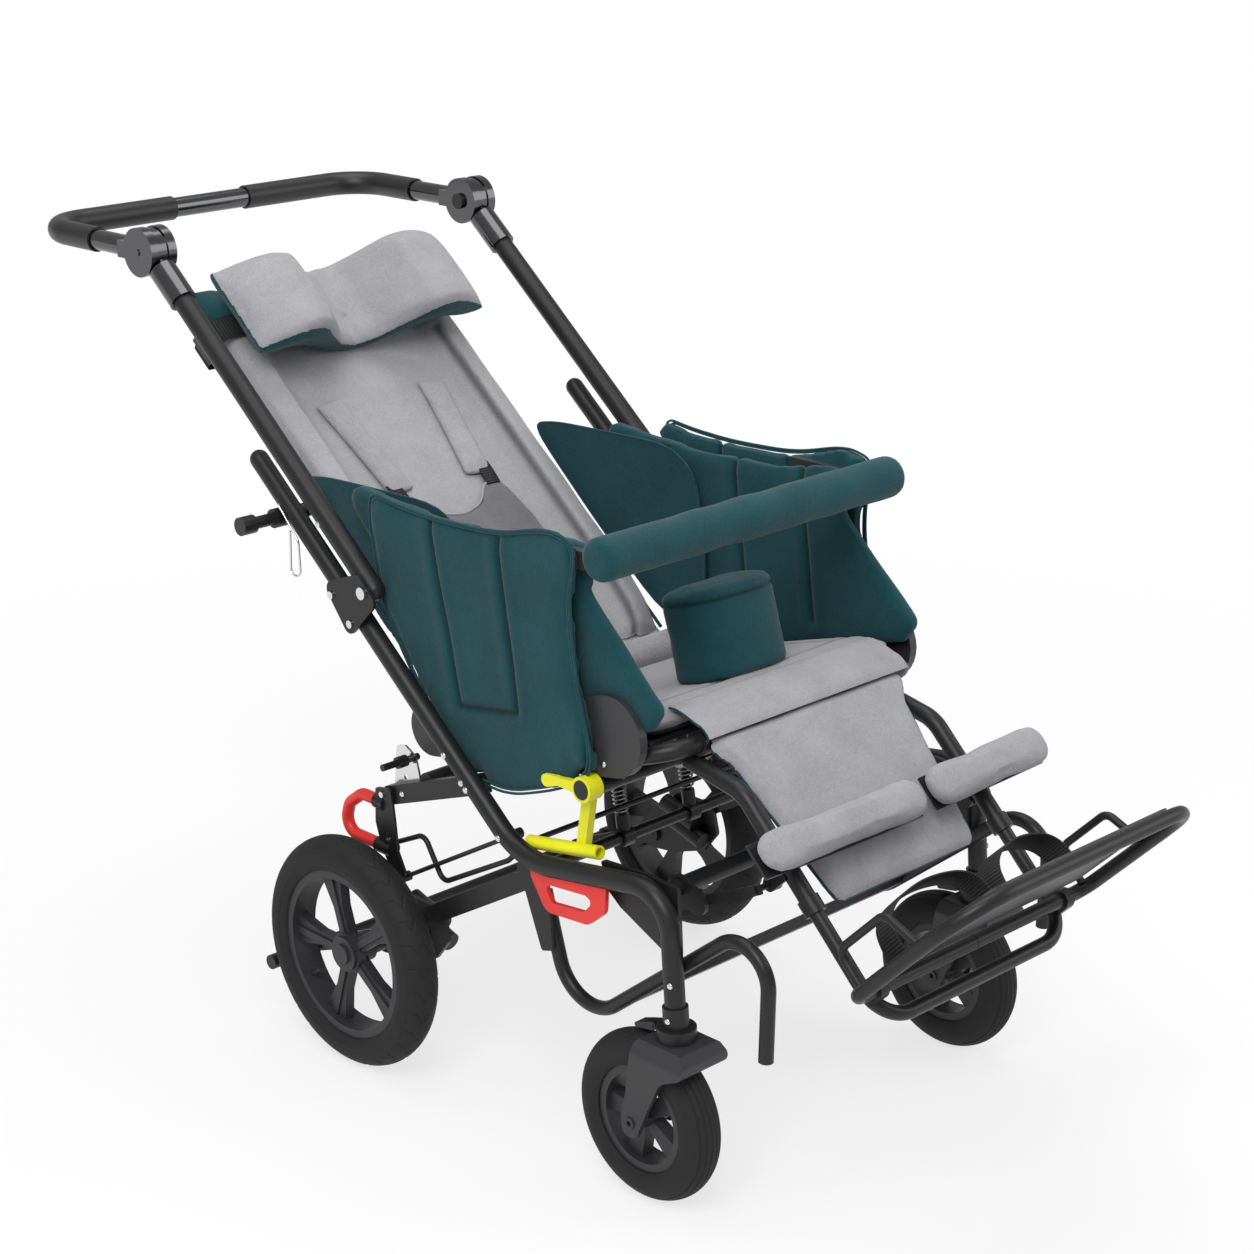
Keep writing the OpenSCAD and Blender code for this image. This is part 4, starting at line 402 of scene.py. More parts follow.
on_seat = on_slope(SEAT_ORIGIN, (0, -math.cos(SEAT_TILT), math.sin(SEAT_TILT)), (0, math.sin(SEAT_TILT), math.cos(SEAT_TILT)))
on_back = on_slope(SEAT_ORIGIN, (0, math.cos(BACK_TILT), math.sin(BACK_TILT)), (0, -math.sin(BACK_TILT), math.cos(BACK_TILT)))
on_leg = on_slope(LEG_ORIGIN, (0, math.cos(LEG_TILT), math.sin(LEG_TILT)), (0, -math.sin(LEG_TILT), math.cos(LEG_TILT)))


def back_from(point_function, origin, points):
    """The same slope's own coordinates of points in the row frame."""
    axes = point_function(np.eye(3)) - point_function(np.zeros((3, 3)))
    return (np.asarray(points) - origin) @ axes.T

# %% [markdown]
# ## Stuffed covers
# A cover starts as a copy of the solid that holds its place. It is remeshed into small even quads, drawn in a little,
# and blown up with the Cloth simulation, gravity off, so that the faces crown and the edges wrinkle as a sewn
# and stuffed cover does. A cap keeps each point near its place. Seams are pressed in afterwards.

# %% Cover helpers
def vertices(piece):
    co = np.zeros(len(piece.data.vertices) * 3, np.float32)
    piece.data.vertices.foreach_get("co", co)
    return co.reshape(-1, 3).astype(float)


def normals(piece):
    no = np.zeros(len(piece.data.vertices) * 3, np.float32)
    piece.data.vertex_normals.foreach_get("vector", no)
    return no.reshape(-1, 3).astype(float)


def set_vertices(piece, co):
    piece.data.vertices.foreach_set("co", np.asarray(co, np.float32).ravel())
    piece.data.update()


def settle(piece):
    """Applies the piece's modifiers to its mesh."""
    graph = bpy.context.evaluated_depsgraph_get()
    mesh = bpy.data.meshes.new_from_object(piece.evaluated_get(graph))
    piece.modifiers.clear()
    piece.data = mesh


def cover_from(name, node, voxel=0.005, keep=None):
    """A merged and remeshed copy of a CAD node, or of those of its vertices that keep(co) picks."""
    mesh = frame["nodes"][node].data.copy()
    mesh.materials.clear()
    piece = bpy.data.objects.new(name, mesh)
    scene.collection.objects.link(piece)
    work = bmesh.new()
    work.from_mesh(mesh)
    bmesh.ops.remove_doubles(work, verts=work.verts, dist=1e-5)
    if keep is not None:
        co = np.array([v.co for v in work.verts])
        wanted = keep(co)
        bmesh.ops.delete(work, geom=[v for v, w in zip(work.verts, wanted) if not w], context="VERTS")
    work.to_mesh(mesh)
    work.free()
    modifier = piece.modifiers.new("remesh", "REMESH")
    modifier.mode = "VOXEL"
    modifier.voxel_size = voxel
    settle(piece)
    return piece


def inflate(piece, draw_in=0.002, pressure=4.0, cap=0.006, frames=20):
    """Blows the cover up: every point starts draw_in inside its place and moves at most cap from there."""
    start = vertices(piece) - draw_in * normals(piece)
    set_vertices(piece, start)
    cloth = piece.modifiers.new("cloth", "CLOTH")
    settings = cloth.settings
    settings.quality = 4
    settings.mass = 0.3
    settings.tension_stiffness = 12
    settings.compression_stiffness = 12
    settings.shear_stiffness = 5
    settings.bending_stiffness = 0.4
    settings.use_pressure = True
    settings.uniform_pressure_force = pressure
    settings.effector_weights.gravity = 0
    cloth.collision_settings.use_collision = False
    cloth.point_cache.frame_start = 1
    cloth.point_cache.frame_end = frames
    for f in range(1, frames + 1):
        scene.frame_set(f)
    settle(piece)
    scene.frame_set(1)
    moved = vertices(piece) - start
    size = np.linalg.norm(moved, axis=1, keepdims=True)
    set_vertices(piece, start + moved * np.minimum(1, cap / np.maximum(size, 1e-9)))
    return piece


def relax(piece, rounds, factor=0.5):
    """Smooths the mesh: each round moves every point part of the way to the middle of its neighbours."""
    modifier = piece.modifiers.new("smooth", "SMOOTH")
    modifier.iterations = rounds
    modifier.factor = factor
    settle(piece)


def subdivide(piece, levels=1):
    modifier = piece.modifiers.new("subdivision", "SUBSURF")
    modifier.levels = modifier.render_levels = levels
    settle(piece)


def distance_to_line(p, line):
    """Distance of 2-D points to a polyline: the least over its segments of the distance to the nearest point."""
    line = np.asarray(line, float)
    best = np.full(len(p), 9.0)
    for a, b in zip(line[:-1], line[1:]):
        t = np.clip(((p - a) @ (b - a)) / ((b - a) @ (b - a)), 0, 1)[:, None]
        best = np.minimum(best, np.linalg.norm(p - a - t * (b - a), axis=1))
    return best


def press_seams(piece, flat, lines, width=0.0035, depth=0.0028, where=None):
    """Sinks the cover along lines drawn in a flat view: the depth falls off as a bell over the width."""
    distance = np.min([distance_to_line(flat, line) for line in lines], 0)
    bell = np.exp(-(distance / width) ** 2)
    if where is not None:
        bell = bell * where
    puff = np.exp(-((distance - 3.2 * width) / (2.2 * width)) ** 2) * (where if where is not None else 1)
    co = vertices(piece) + normals(piece) * (0.3 * depth * puff - depth * bell)[:, None]
    set_vertices(piece, co)
    return bell


def mark(piece, name, values):
    layer = piece.data.attributes.get(name) or piece.data.attributes.new(name, "FLOAT", "POINT")
    layer.data.foreach_set("value", np.asarray(values, np.float32))


def piping(name, path, radius, body, slot, closed=False):
    """A round cord sewn into an edge."""
    piece = sweep(name, path, ring(radius), body, slot, side=(0.31, 0.43, 0.85), closed=closed)
    mark(piece, "tint", np.zeros(len(piece.data.vertices)))
    mark(piece, "seam", np.zeros(len(piece.data.vertices)))
    return piece


def rumple(piece, size, height, seed):
    """Gentle waves in the cloth: a sum of sines in random directions, which moves points along their normals."""
    rng = np.random.default_rng(seed)
    co = vertices(piece)
    waves = rng.normal(size=(9, 3))
    waves *= (2 * math.pi / size) / np.linalg.norm(waves, axis=1, keepdims=True) * rng.uniform(0.6, 1.5, (9, 1))
    total = np.sin(co @ waves.T + rng.uniform(0, 6.28, 9)).sum(1) / 3
    set_vertices(piece, co + normals(piece) * (height * total)[:, None])


def finish_cover(piece, body, slot, node):
    piece.data.materials.clear()
    piece.data.materials.append(FINISH[slot])
    piece.data.polygons.foreach_set("use_smooth", np.ones(len(piece.data.polygons), bool))
    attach(piece, body)
    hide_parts(node)
    print(piece.name, len(piece.data.polygons), "faces")
    return piece

# %% [markdown]
# ## Seat cushion
# A flat pad of foam in a plush cover. It crowns a little between its edges, and two sewn lines across the front
# hold the foam down. The pommel's post comes up through it.

# %% Seat cushion
def seat_plane(piece):
    """x and distance along the seat of the piece's points, and the height over the seat plane."""
    return back_from(on_seat, SEAT_ORIGIN, vertices(piece))


seat = cover_from("seat_cover", "seat_cushion", 0.005)
inflate(seat, 0.0015, 3.0, 0.004)
subdivide(seat)
s = seat_plane(seat)
SEAT_SEAMS = [[(-0.19, 0.292), (-0.08, 0.3), (0.0, 0.302), (0.08, 0.3), (0.19, 0.292)],
              [(-0.165, 0.02), (-0.16, 0.292)], [(0.165, 0.02), (0.16, 0.292)]]
bell = press_seams(seat, s[:, :2], SEAT_SEAMS, 0.004, 0.0032, (s[:, 2] > -0.012).astype(float))
# painted shade in the pressed seam valleys of the seat
mark(seat, "seam", bell)
mark(seat, "tint", (s[:, 2] < -0.024).astype(float))
rumple(seat, 0.09, 0.0005, 3)
finish_cover(seat, "chassis", "grey_fabric", "seat_cushion")

HINGE_Y, HINGE_Z = -0.3607, 0.5391
turns = np.radians(np.arange(98, 153, 6))
over = [(HINGE_Y + 0.02685 * math.cos(a), HINGE_Z + 0.02685 * math.sin(a)) for a in turns]
lead = [(-0.3190, 0.5745), (-0.3300, 0.5752), (-0.3430, 0.5726), (-0.3540, 0.5690)]
fold = curve(np.array(lead + over), 60)
ROLL_HALF = 0.178
ROLL_OUTLINE = [(ROLL_HALF * a, 0.00215 * b) for a, b in ((-1, -0.4), (-0.992, -1), (-0.5, -1), (0.5, -1), (0.992, -1), (1, -0.4), (1, 0.4),
                (0.992, 1), (0.5, 1), (-0.5, 1), (-0.992, 1), (-1, 0.4))]
roll = sweep("seat_front_roll", np.column_stack([np.zeros(len(fold)), fold]), ROLL_OUTLINE, "chassis", "grey_fabric")
mark(roll, "tint", (np.abs(vertices(roll)[:, 0]) > 0.1772).astype(float))
mark(roll, "seam", np.zeros(len(roll.data.vertices)))

# %% [markdown]
# ## Pommel
# The pommel is a stout foam block, round in front, in a sewn cover: a top panel is stitched to the wall, and
# the stitch shows as a narrow valley just below the rounded edge.

# %% Pommel
pommel = cover_from("pommel_cover", "pommel", 0.0045)
inflate(pommel, 0.0015, 3.0, 0.0035)
subdivide(pommel)
s = seat_plane(pommel)
POMMEL_SEAM_HEIGHT = 0.100
bell = np.exp(-((s[:, 2] - POMMEL_SEAM_HEIGHT) / 0.0028) ** 2)
set_vertices(pommel, vertices(pommel) - normals(pommel) * (0.002 * bell)[:, None])
# painted shade in the pommel's stitch valley
mark(pommel, "seam", bell)
mark(pommel, "tint", np.zeros(len(s)))
finish_cover(pommel, "pommel", "teal_fabric", "pommel")

# %% [markdown]
# ## Backrest
# The shell is wrapped in teal plush. The grey pad in front of it has two bolsters and a hollow, with a sewn channel
# down each side where the bolster starts.

# %% Backrest
def back_plane(piece):
    return back_from(on_back, SEAT_ORIGIN, vertices(piece))


shell = cover_from("back_shell_cover", "back_shell", 0.006)
inflate(shell, 0.0015, 3.0, 0.004)
relax(shell, 2)
s = back_plane(shell)
# painted shade: a dark line beside the piping down each side of the shell, with no valley in the mesh
mark(shell, "seam", np.exp(-((np.abs(s[:, 0]) - 0.192) / 0.003) ** 2) * (s[:, 2] < -0.03))
mark(shell, "tint", (s[:, 1] < 0.075).astype(float))
rumple(shell, 0.12, 0.0005, 5)
finish_cover(shell, "backrest", "teal_fabric", "back_shell")

pad = cover_from("back_pad_cover", "back_pad", 0.005)
inflate(pad, 0.002, 4.0, 0.0045)
subdivide(pad)
s = back_plane(pad)
BACK_SEAMS = [[(x, 0.05), (x, 0.6)] for x in (-0.146, 0.146)]
bell = press_seams(pad, s[:, :2], BACK_SEAMS, 0.0045, 0.004, (s[:, 2] > -0.034).astype(float))
# painted shade in the pad's sewn channels
mark(pad, "seam", bell)
mark(pad, "tint", ((np.abs(s[:, 0]) > 0.188) | ((np.abs(s[:, 0]) > 0.14) & (s[:, 1] > 0.665))).astype(float))
rumple(pad, 0.1, 0.0005, 7)
finish_cover(pad, "backrest", "grey_fabric", "back_pad")


for name, sign in (("right", -1), ("left", 1)):
    edge = np.linspace(0.06, 0.754, 30)[:, None] * (0, 1, 0) + (sign * 0.1992, 0, -0.0335)
    piping("back_piping_" + name, on_back(edge), 0.0024, "backrest", "teal_fabric")

STRAP_ROUND = [(0.100, -0.0232), (0.128, -0.0228), (0.142, -0.012), (0.153, 0.0032), (0.170, 0.0052), (0.189, 0.0042), (0.2015, -0.004),
               (0.2052, -0.018), (0.2052, -0.042), (0.2008, -0.0570), (0.188, -0.0592), (0.120, -0.0595), (0.0, -0.0597)]
half = np.array(STRAP_ROUND)
whole = np.concatenate([half, (half * (-1, 1))[-2::-1]])
whole = curve(whole, 120)
band = np.stack([whole[:, 0], np.full(len(whole), 0.658), whole[:, 1]], 1)
along_back = (0, math.cos(BACK_TILT), math.sin(BACK_TILT))
FLAT_BAND = [(0.018 * a, 0.0009 * b) for a, b in ((-1, -1), (1, -1), (1, 1), (-1, 1))]
sweep("headrest_strap", on_back(band), FLAT_BAND, "backrest", "webbing", side=along_back)
slider = np.linspace(0.636, 0.680, 4)[:, None] * (0, 1, 0) + (-0.2075, 0, -0.030)
SLIDER = [(0.002 * a, 0.012 * b) for a, b in ((-1, -1), (1, -1), (1, 1), (-1, 1))]
sweep("strap_slider", on_back(slider), SLIDER, "backrest", "black_plastic")

# %% [markdown]
# ## Headrest
# Two wings stand either side of a hollow for the head. The front is grey and the underside and back are teal, so the
# colour changes where the surface turns: the tint follows where each point lies between the front and the back outline.

# %% Headrest
def head_front(u):
    """Depth of the headrest's front in metres at u from -1 to 1: a raised cosine up from the hollow to the wing, then a
    parabola down to the tip."""
    a = np.abs(u)
    return MM * np.where(a > 0.57, 45 - 45 * ((a - 0.57) / 0.43) ** 2, -52 + 97 * (0.5 - 0.5 * np.cos(math.pi * a / 0.57)))


def head_back(u):
    a = np.abs(u)
    return MM * np.where(a > 0.8, -38 + 30 * ((a - 0.8) / 0.2) ** 2, -78 + 40 * (0.5 - 0.5 * np.cos(math.pi * a / 0.8)))


def head_tint(p):
    """0 for grey on the front and the ends, 1 for teal on the back, the underside and a thin line along the top."""
    u = np.clip(p[:, 0] / 0.199, -1, 1)
    depth = p[:, 2] - 0.0521
    height = (p[:, 1] - 0.588 + 0.25 * p[:, 2]) / 0.074 - 1
    front, rear = head_front(u), head_back(u)
    share = (depth - (front + rear) / 2) / ((front - rear) / 2)
    return 1 - ((share > 0.1) & (height > -0.9) & (height < 0.95)).astype(float)


head = cover_from("headrest_cover", "headrest", 0.005)
inflate(head, 0.0015, 4.0, 0.004)
relax(head, 2)
subdivide(head)
s = back_plane(head)
mark(head, "tint", head_tint(s))
mark(head, "seam", np.zeros(len(s)))
rumple(head, 0.08, 0.0004, 9)
finish_cover(head, "headrest", "grey_fabric", "headrest")

# %% [markdown]
# ## Side panels and flaps
# Each side of the seat is a quilted panel hung on the frame, with darts sewn in the side view so that it follows the
# hip. The lines are drawn once, in metres in the (y, z) plane, and mirrored.

# %% Side panels
GAUGE_Y = 0.1328


def side_line(*points):
    """Points of the side view, written as the distance from the rear axle and the height."""
    return [(y + GAUGE_Y, z) for y, z in points]


PANEL_SEAMS = [side_line((-0.125, 0.754), (-0.176, 0.528), (-0.281, 0.546), (-0.247, 0.765)),
               side_line((-0.375, 0.772), (-0.392, 0.700), (-0.401, 0.6), (-0.396, 0.47))]
for name, sign in (("right", -1), ("left", 1)):
    panel = cover_from("side_panel_" + name, "side_panels", 0.0055, lambda co: co[:, 0] * sign > 0)
    inflate(panel, 0.0012, 3.0, 0.004)
    subdivide(panel)
    co = vertices(panel)
    bell = press_seams(panel, co[:, 1:], PANEL_SEAMS, 0.004, 0.0042)
    # painted shade in the panel's pressed seams
    mark(panel, "seam", bell)
    mark(panel, "tint", np.zeros(len(co)))
    rumple(panel, 0.13, 0.0008, 11)
    finish_cover(panel, "chassis", "teal_fabric", "side_panels")


PANEL_OUTLINE = [(0.1308, 0.7710), (0.0678, 0.7630), (-0.0072, 0.7600), (-0.1162, 0.7650), (-0.2072, 0.7890), (-0.2542, 0.7780),
                 (-0.2392, 0.7000), (-0.2512, 0.6100), (-0.2822, 0.5000), (-0.2132, 0.4630), (-0.1272, 0.4320),
                 (-0.0492, 0.4360), (0.0428, 0.5350), (0.1068, 0.6290)]
for name, sign in (("right", -1), ("left", 1)):
    outline = rounded(PANEL_OUTLINE)
    middle = outline.mean(0)
    for index, share in enumerate((0.992, 0.968)):
        inner = middle + share * (outline - middle)
        path = np.column_stack([np.full(len(inner), sign * 0.2603), inner])
        piping(f"panel_piping_{index}_{name}", path, 0.0017, "chassis", "teal_fabric", closed=True)

WING = [(0.060, 0.752), (0.198, 0.748), (0.278, 0.745), (0.322, 0.737), (0.312, 0.716), (0.190, 0.608), (0.070, 0.512), (-0.005, 0.510),
        (-0.010, 0.620), (0.010, 0.720)]
for name, sign in (("right", -1), ("left", 1)):
    outline = rounded(WING, 2)
    count = len(outline)
    skins = [np.column_stack([np.full(count, sign * x), outline]) for x in (0.2030, 0.2050)]
    faces = [list(range(count)), [count + k for k in range(count)][::-1]] + [list(f) for f in grid_faces(2, count, False, True)]
    wing = add_piece("flap_wing_" + name, np.concatenate(skins), faces, "chassis", "teal_fabric")
    wing.data.polygons.foreach_set("use_smooth", np.zeros(len(wing.data.polygons), bool))
    mark(wing, "tint", np.zeros(2 * count))
    mark(wing, "seam", np.zeros(2 * count))
    path = np.column_stack([np.full(count, sign * 0.2040), outline])
    piping("wing_piping_" + name, path, 0.0016, "chassis", "teal_fabric", closed=True)

FLAP_SEAMS = [side_line((-0.30, 0.76), (-0.325, 0.56)), side_line((-0.18, 0.76), (-0.21, 0.53)),
              side_line((-0.06, 0.74), (-0.10, 0.50))]
for name, sign in (("right", -1), ("left", 1)):
    flap = cover_from("side_flap_" + name, "side_flaps", 0.0055, lambda co: co[:, 0] * sign > 0)
    inflate(flap, 0.0012, 3.0, 0.004)
    subdivide(flap)
    co = vertices(flap)
    bell = press_seams(flap, co[:, 1:], FLAP_SEAMS, 0.004, 0.0038)
    # painted shade in the flap's pressed seams
    mark(flap, "seam", bell)
    mark(flap, "tint", np.zeros(len(co)))
    rumple(flap, 0.12, 0.0008, 13)
    finish_cover(flap, "chassis", "teal_fabric", "side_flaps")

# %% [markdown]
# ## Grab bar
# A long foam sleeve in plush, blown up and gently rumpled; the seam along its underside is not drawn.

# %% Grab bar
sleeve = cover_from("grab_bar_cover", "grab_bar_sleeve", 0.0045)
inflate(sleeve, 0.001, 3.0, 0.0025)
co = vertices(sleeve)
low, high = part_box("grab_bar_sleeve")
mark(sleeve, "tint", np.zeros(len(co)))
mark(sleeve, "seam", np.zeros(len(co)))
rumple(sleeve, 0.07, 0.0006, 15)
finish_cover(sleeve, "grab_bar", "teal_fabric", "grab_bar_sleeve")

# %% [markdown]
# ## Legrest panel and calf pads
# The legrest is a thin pad with a grey face and a teal rim. The calf pads are fuller.

# %% Legrest
def leg_plane(piece):
    return back_from(on_leg, LEG_ORIGIN, vertices(piece))


leg_panel = cover_from("leg_panel_cover", "leg_panel", 0.0045)
inflate(leg_panel, 0.001, 3.0, 0.003)
axes = on_leg(np.eye(3)) - on_leg(np.zeros((3, 3)))
facing = normals(leg_panel) @ axes.T
mark(leg_panel, "tint", (facing[:, 2] < 0.25).astype(float))
subdivide(leg_panel)
mark(leg_panel, "seam", np.zeros(len(leg_panel.data.vertices)))
rumple(leg_panel, 0.1, 0.0005, 17)
finish_cover(leg_panel, "legrest", "grey_fabric", "leg_panel")

flat = leg_plane(leg_panel)
for name, sign in (("right", -1), ("left", 1)):
    rows = []
    for low in np.arange(-0.248, -0.05, 0.006):
        near = flat[np.abs(flat[:, 1] - low) < 0.003]
        rows.append(near[np.argmax(sign * near[:, 0])] + (sign * 0.0003, 0, 0))
    rows = np.array(rows)
    kernel = np.ones(5) / 5
    padded = np.concatenate([rows[:1].repeat(2, 0), rows, rows[-1:].repeat(2, 0)])
    smooth = np.stack([np.convolve(padded[:, k], kernel, "valid") for k in range(3)], 1)
    end = smooth[0] * (0, 1, 1) + (0, -0.0035, 0)
    toe = [end, end + (sign * 0.06, 0.0004, 0), end + (sign * 0.5 * abs(smooth[0][0]) + sign * 0.03, 0.002, 0)]
    piping("leg_piping_" + name, on_leg(np.concatenate([curve(np.array(toe), 12), smooth])), 0.002, "legrest", "teal_fabric")

for name, sign in (("right", -1), ("left", 1)):
    split = 0.045
    calf = cover_from("calf_pad_" + name, "calf_pads", 0.0045, lambda co: (co[:, 0] - split) * sign > 0)
    inflate(calf, 0.0015, 4.0, 0.0035)
    subdivide(calf)
    mark(calf, "tint", np.zeros(len(calf.data.vertices)))
    mark(calf, "seam", np.zeros(len(calf.data.vertices)))
    rumple(calf, 0.06, 0.0004, 19)
    finish_cover(calf, "legrest", "grey_fabric", "calf_pads")

# %% [markdown]
# ## Harness
# Two padded shoulder straps come down to a vest of softer, darker grey.

# %% Harness
harness = cover_from("harness_cover", "harness", 0.003)
inflate(harness, 0.0005, 3.0, 0.0015)
s = back_plane(harness)
mark(harness, "tint", (s[:, 1] > 0.352).astype(float))
mark(harness, "seam", np.zeros(len(s)))
finish_cover(harness, "backrest", "harness_grey", "harness")
for name, sign in (("right", -1), ("left", 1)):
    down = np.array([(0.0795, 0.372, -0.0170), (0.0790, 0.360, -0.0165), (0.0780, 0.348, -0.0160), (0.0775, 0.336, -0.0168)])
    join = sweep("harness_join_" + name, on_back(curve(down * (sign, 1, 1), 14)), [(0.011 * a, 0.0011 * b) for a, b in
                 ((-1, -1), (1, -1), (1, 1), (-1, 1))], "backrest", "webbing")
VEST = [(-0.095, 0.130), (0.095, 0.130), (0.112, 0.250), (0.092, 0.345), (0.062, 0.340), (0.040, 0.312), (0.0, 0.300), (-0.040, 0.312),
        (-0.062, 0.340), (-0.092, 0.345), (-0.112, 0.250)]
outline = rounded(VEST)
piece = piping("vest_piping", on_back(np.column_stack([outline, np.full(len(outline), -0.0183)])), 0.0016, "backrest", "harness_grey", closed=True)
mark(piece, "tint", np.ones(len(piece.data.vertices)))

# %% [markdown]
# ## Rear tyres
# The tread is cut by zigzag sipes that repeat round the wheel. The tyre is a turned section, and every point of its
# outer band sinks where it lies near one of the sipes, so the cuts are real grooves.

# %% Rear tyres
TYRE_RADIUS, TYRE_HALF, TYRE_BORE = 0.156, 0.0265, 0.1143
TREAD_PITCHES = 30
SIPE = [(0.001, -0.034), (0.006, -0.016), (0.019, -0.0085), (0.005, 0.0), (0.020, 0.0085), (0.024, 0.016), (0.030, 0.034)]


def tyre_points(centre, columns=960, rows=84):
    """A circle of radius TYRE_HALF turned round the axle, open towards the rim. Its radius shrinks by the tread depth
    near a sipe, and grows or shrinks by under a millimetre at the rings of the side wall."""
    most = math.acos((TYRE_BORE - (TYRE_RADIUS - TYRE_HALF)) / TYRE_HALF)
    phi = np.linspace(-most, most, rows)
    turn = np.arange(columns) * 2 * math.pi / columns
    t, f = np.meshgrid(turn, phi, indexing="ij")
    pitch = 2 * math.pi * TYRE_RADIUS / TREAD_PITCHES
    u = np.mod(t * TYRE_RADIUS, pitch)
    flat = np.stack([u.ravel(), (f * TYRE_HALF).ravel()], 1)
    near = np.min([distance_to_line(flat + (k * pitch, 0), SIPE) for k in (-1, 0, 1)], 0).reshape(t.shape)
    band = 1 / (1 + np.exp((np.abs(f) - 1.05) / 0.03))
    sink = 0.0013 * np.exp(-(near / 0.0009) ** 2) * band
    rings = 0.0008 * np.exp(-((np.abs(f) - 1.72) / 0.07) ** 2) - 0.0007 * np.exp(-((np.abs(f) - 1.12) / 0.03) ** 2)
    r = TYRE_HALF - sink + rings
    radius = TYRE_RADIUS - TYRE_HALF + r * np.cos(f)
    return centre + np.stack([r * np.sin(f), radius * np.cos(t), radius * np.sin(t)], -1)


for name in ("right", "left"):
    low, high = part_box("rear_tyre_" + name)
    centre = (np.array(low) + np.array(high)) / 2
    centre[2] = TYRE_RADIUS
    points = tyre_points(centre)
    tyre = add_piece("rear_tyre_tread_" + name, points, grid_faces(*points.shape[:2], True, True), "rear_wheel_" + name, "tyre")
    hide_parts("rear_tyre_" + name)
    print("tyre", name, len(tyre.data.polygons), "faces")

# %% [markdown]
# ## Rivets
# The joints of the frame are held by domed silver rivets. One dome is a turned quarter ellipse, placed on the face
# that carries it, with its axis along X.

# %% Rivets
def rivet(name, x, y, z, radius, height, body, slot="chrome"):
    """A low dome on the plane x, outwards: its height falls as the root of one minus the radius squared."""
    sign = math.copysign(1, x)
    a = np.arange(20) * 2 * math.pi / 20
    t = np.array([1.0, 0.97, 0.86, 0.7, 0.45, 0.12])
    rise = np.array([0.0, 0.28, 0.62, 0.84, 0.97, 1.0]) * height
    points = np.stack(np.broadcast_arrays(
        (x + sign * rise)[:, None], y + radius * t[:, None] * np.cos(a), z + radius * t[:, None] * np.sin(a)), -1)
    faces = [list(f) for f in grid_faces(6, 20, False, True)]
    faces += [list(range(20)), [100 + k for k in range(20)][::-1]]
    return add_piece(name, points, faces, body, slot)


STILL = {"chassis", "push_frame", "brake", "legrest", "foot_support"}
trees = [(body, BVHTree.FromPolygons([v.co for v in frame["nodes"][n].data.vertices], [p.vertices for p in frame["nodes"][n].data.polygons]))
         for body, names in frame["record"]["behaviour"]["bodies"].items() if body in STILL
         for n in names if n not in ("side_panels", "side_flaps", "seat_cushion", "leg_panel", "calf_pads")]


def outer_face(y, z, sign):
    """The outermost x of the hard parts on the line through (y, z) along X, and its body."""
    hits = [(tree.ray_cast(Vector((sign * 0.5, y, z)), Vector((-sign, 0, 0)))[0], body) for body, tree in trees]
    return max((sign * h.x, body) for h, body in hits if h is not None)


RIVETS = [("tube_low", -0.1745, 0.4700), ("rail_a", -0.2049, 0.4420), ("rail_b", -0.2133, 0.4352), ("basket", -0.2716, 0.3890),
          ("head_upper", -0.5640, 0.2920), ("head_lower", -0.5640, 0.2480), ("seat_plate", -0.4131, 0.5123),
          ("push_tube", 0.0553, 0.7188), ("bracket", -0.0604, 0.3794)]
for name, y, z in RIVETS:
    for side, sign in (("right", -1), ("left", 1)):
        x, body = outer_face(y + GAUGE_Y, z, sign)
        print("rivet", name, side, round(x, 4), body)
        rivet(f"rivet_{name}_{side}", sign * x, y + GAUGE_Y, z, 0.0042, 0.002, body)

# %% [markdown]
# ## Foot straps
# One ribbed strap arches over each shoe. It is woven flat, so it is a thin outline carried along the arch.

# %% Foot straps
STRAP_WIDTH, STRAP_THICKNESS = 0.038, 0.0028
STRAP_OUTLINE = [(STRAP_WIDTH / 2 * a, STRAP_THICKNESS / 2 * b) for a, b in
                 ((-1, -0.5), (-0.96, -1), (0, -1.15), (0.96, -1), (1, -0.5), (1, 0.5), (0.96, 1), (0, 1.15), (-0.96, 1), (-1, 0.5))]
ARCH = [(-0.0745, 0.0022), (-0.0745, 0.022), (-0.067, 0.043), (-0.045, 0.058), (0.0, 0.065), (0.045, 0.058), (0.067, 0.043),
        (0.0745, 0.022), (0.0745, 0.0022)]
PLATE_ALONG = -0.359 + 0.009 + 0.0036
for name, sign in (("right", -1), ("left", 1)):
    turn = sign * math.radians(8)
    flat = curve(ARCH, 60)
    x = sign * 0.082 + flat[:, 0] * math.cos(turn) + STRAP_WIDTH / 2 * math.sin(turn)
    forward = 0.055 + STRAP_WIDTH / 2 * math.cos(turn) - flat[:, 0] * math.sin(turn)
    path = on_leg(np.stack([x, PLATE_ALONG + flat[:, 1], forward], 1))
    across = on_leg(np.array([[math.sin(turn), 0, math.cos(turn)]])) - LEG_ORIGIN
    strap = sweep("foot_strap_" + name, path, STRAP_OUTLINE, "footplate", "webbing", side=across[0])
    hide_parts("foot_straps")

# %% [markdown]
# ## Floor, light and the white background
# The floor and the world are white to the camera and to reflections. Big soft lamps light the object from
# above and the sides, at a plain level.

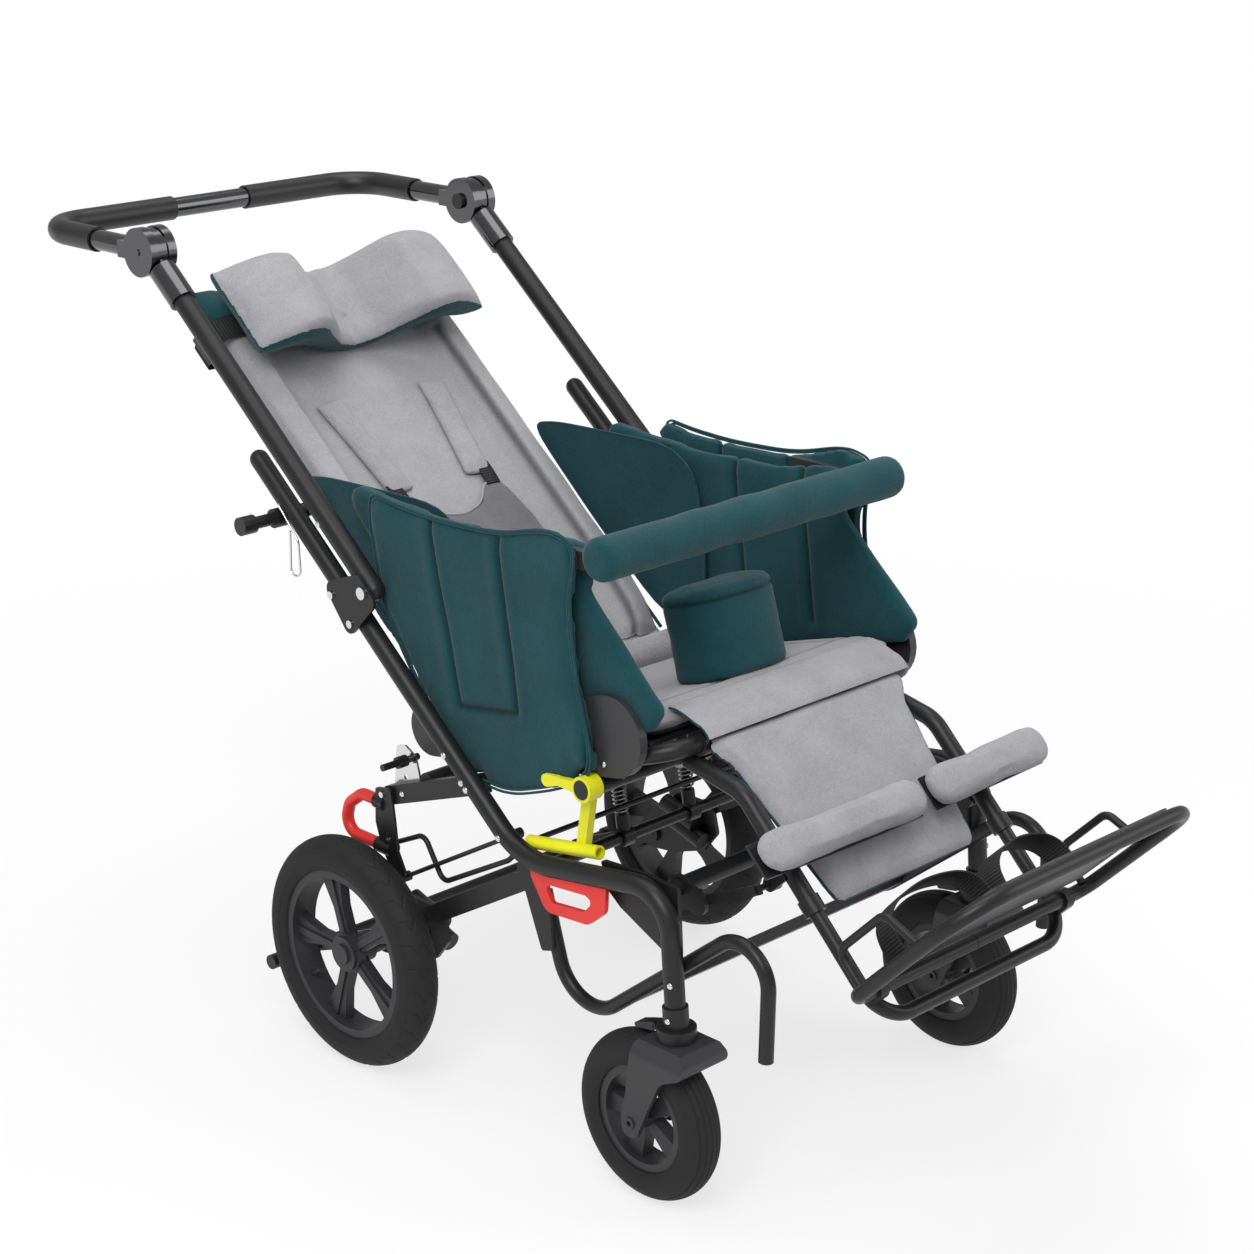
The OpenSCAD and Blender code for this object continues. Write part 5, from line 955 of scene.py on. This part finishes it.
# %% Stage
def white_to_camera(tree, shader_socket, share):
    """Mixes white emission into a shader for camera and glossy rays, by the given share."""
    rays = tree.nodes.new("ShaderNodeLightPath")
    most = tree.nodes.new("ShaderNodeMath")
    most.operation = "MAXIMUM"
    tree.links.new(rays.outputs["Is Camera Ray"], most.inputs[0])
    tree.links.new(rays.outputs["Is Glossy Ray"], most.inputs[1])
    scaled = tree.nodes.new("ShaderNodeMath")
    scaled.operation = "MULTIPLY"
    tree.links.new(most.outputs[0], scaled.inputs[0])
    tree.links.new(share.socket, scaled.inputs[1])
    white = tree.nodes.new("ShaderNodeEmission")
    mix = tree.nodes.new("ShaderNodeMixShader")
    tree.links.new(scaled.outputs[0], mix.inputs[0])
    tree.links.new(shader_socket, mix.inputs[1])
    tree.links.new(white.outputs[0], mix.inputs[2])
    return mix.outputs[0]


FLOOR_SIZE = 40.0
floor_mesh = bpy.data.meshes.new("floor")
h = FLOOR_SIZE / 2
floor_mesh.from_pydata([(-h, -h, 0), (h, -h, 0), (h, h, 0), (-h, h, 0)], [], [(0, 1, 2, 3)])
floor = bpy.data.objects.new("floor", floor_mesh)
scene.collection.objects.link(floor)
floor_paint = Paint("floor", Roughness=0.9, Specular_IOR_Level=0.2)
floor_paint.put(floor_paint.shader.inputs["Base Color"], (0.86, 0.86, 0.86, 1.0))
place = floor_paint.node("ShaderNodeNewGeometry")
distance = floor_paint.node("ShaderNodeVectorMath", {"operation": "LENGTH"}, {0: place}, out=1)
share = floor_paint.range(distance, 0.7, 2.4, 0.72, 1.0)
output = floor_paint.tree.nodes["Material Output"]
floor_paint.tree.links.new(white_to_camera(floor_paint.tree, floor_paint.shader.outputs[0], share), output.inputs[0])
floor_mesh.materials.append(floor_paint.material)

world = bpy.data.worlds.new("world")
scene.world = world
world.use_nodes = True
tree = world.node_tree
background = tree.nodes["Background"]
background.inputs[0].default_value = (1.0, 1.0, 1.0, 1.0)
rays = tree.nodes.new("ShaderNodeLightPath")
seen = tree.nodes.new("ShaderNodeMapRange")
tree.links.new(rays.outputs["Is Camera Ray"], seen.inputs[0])
seen.inputs[3].default_value = 0.46
seen.inputs[4].default_value = 1.0
tree.links.new(seen.outputs[0], background.inputs[1])


def lamp(name, place, target, size, watts):
    light = bpy.data.lights.new(name, "AREA")
    light.shape = "SQUARE"
    light.size = size
    light.energy = watts
    piece = bpy.data.objects.new(name, light)
    scene.collection.objects.link(piece)
    piece.location = place
    piece.rotation_euler = (Vector(target) - Vector(place)).to_track_quat("-Z", "Y").to_euler()
    return piece


lamp("key", (-2.6, -1.8, 3.6), (0, 0, 0.5), 2.2, 112)
lamp("fill", (2.8, -2.6, 2.2), (0, 0, 0.5), 2.4, 42)
lamp("top", (0.2, 0.6, 4.2), (0, 0, 0.5), 3.0, 70)
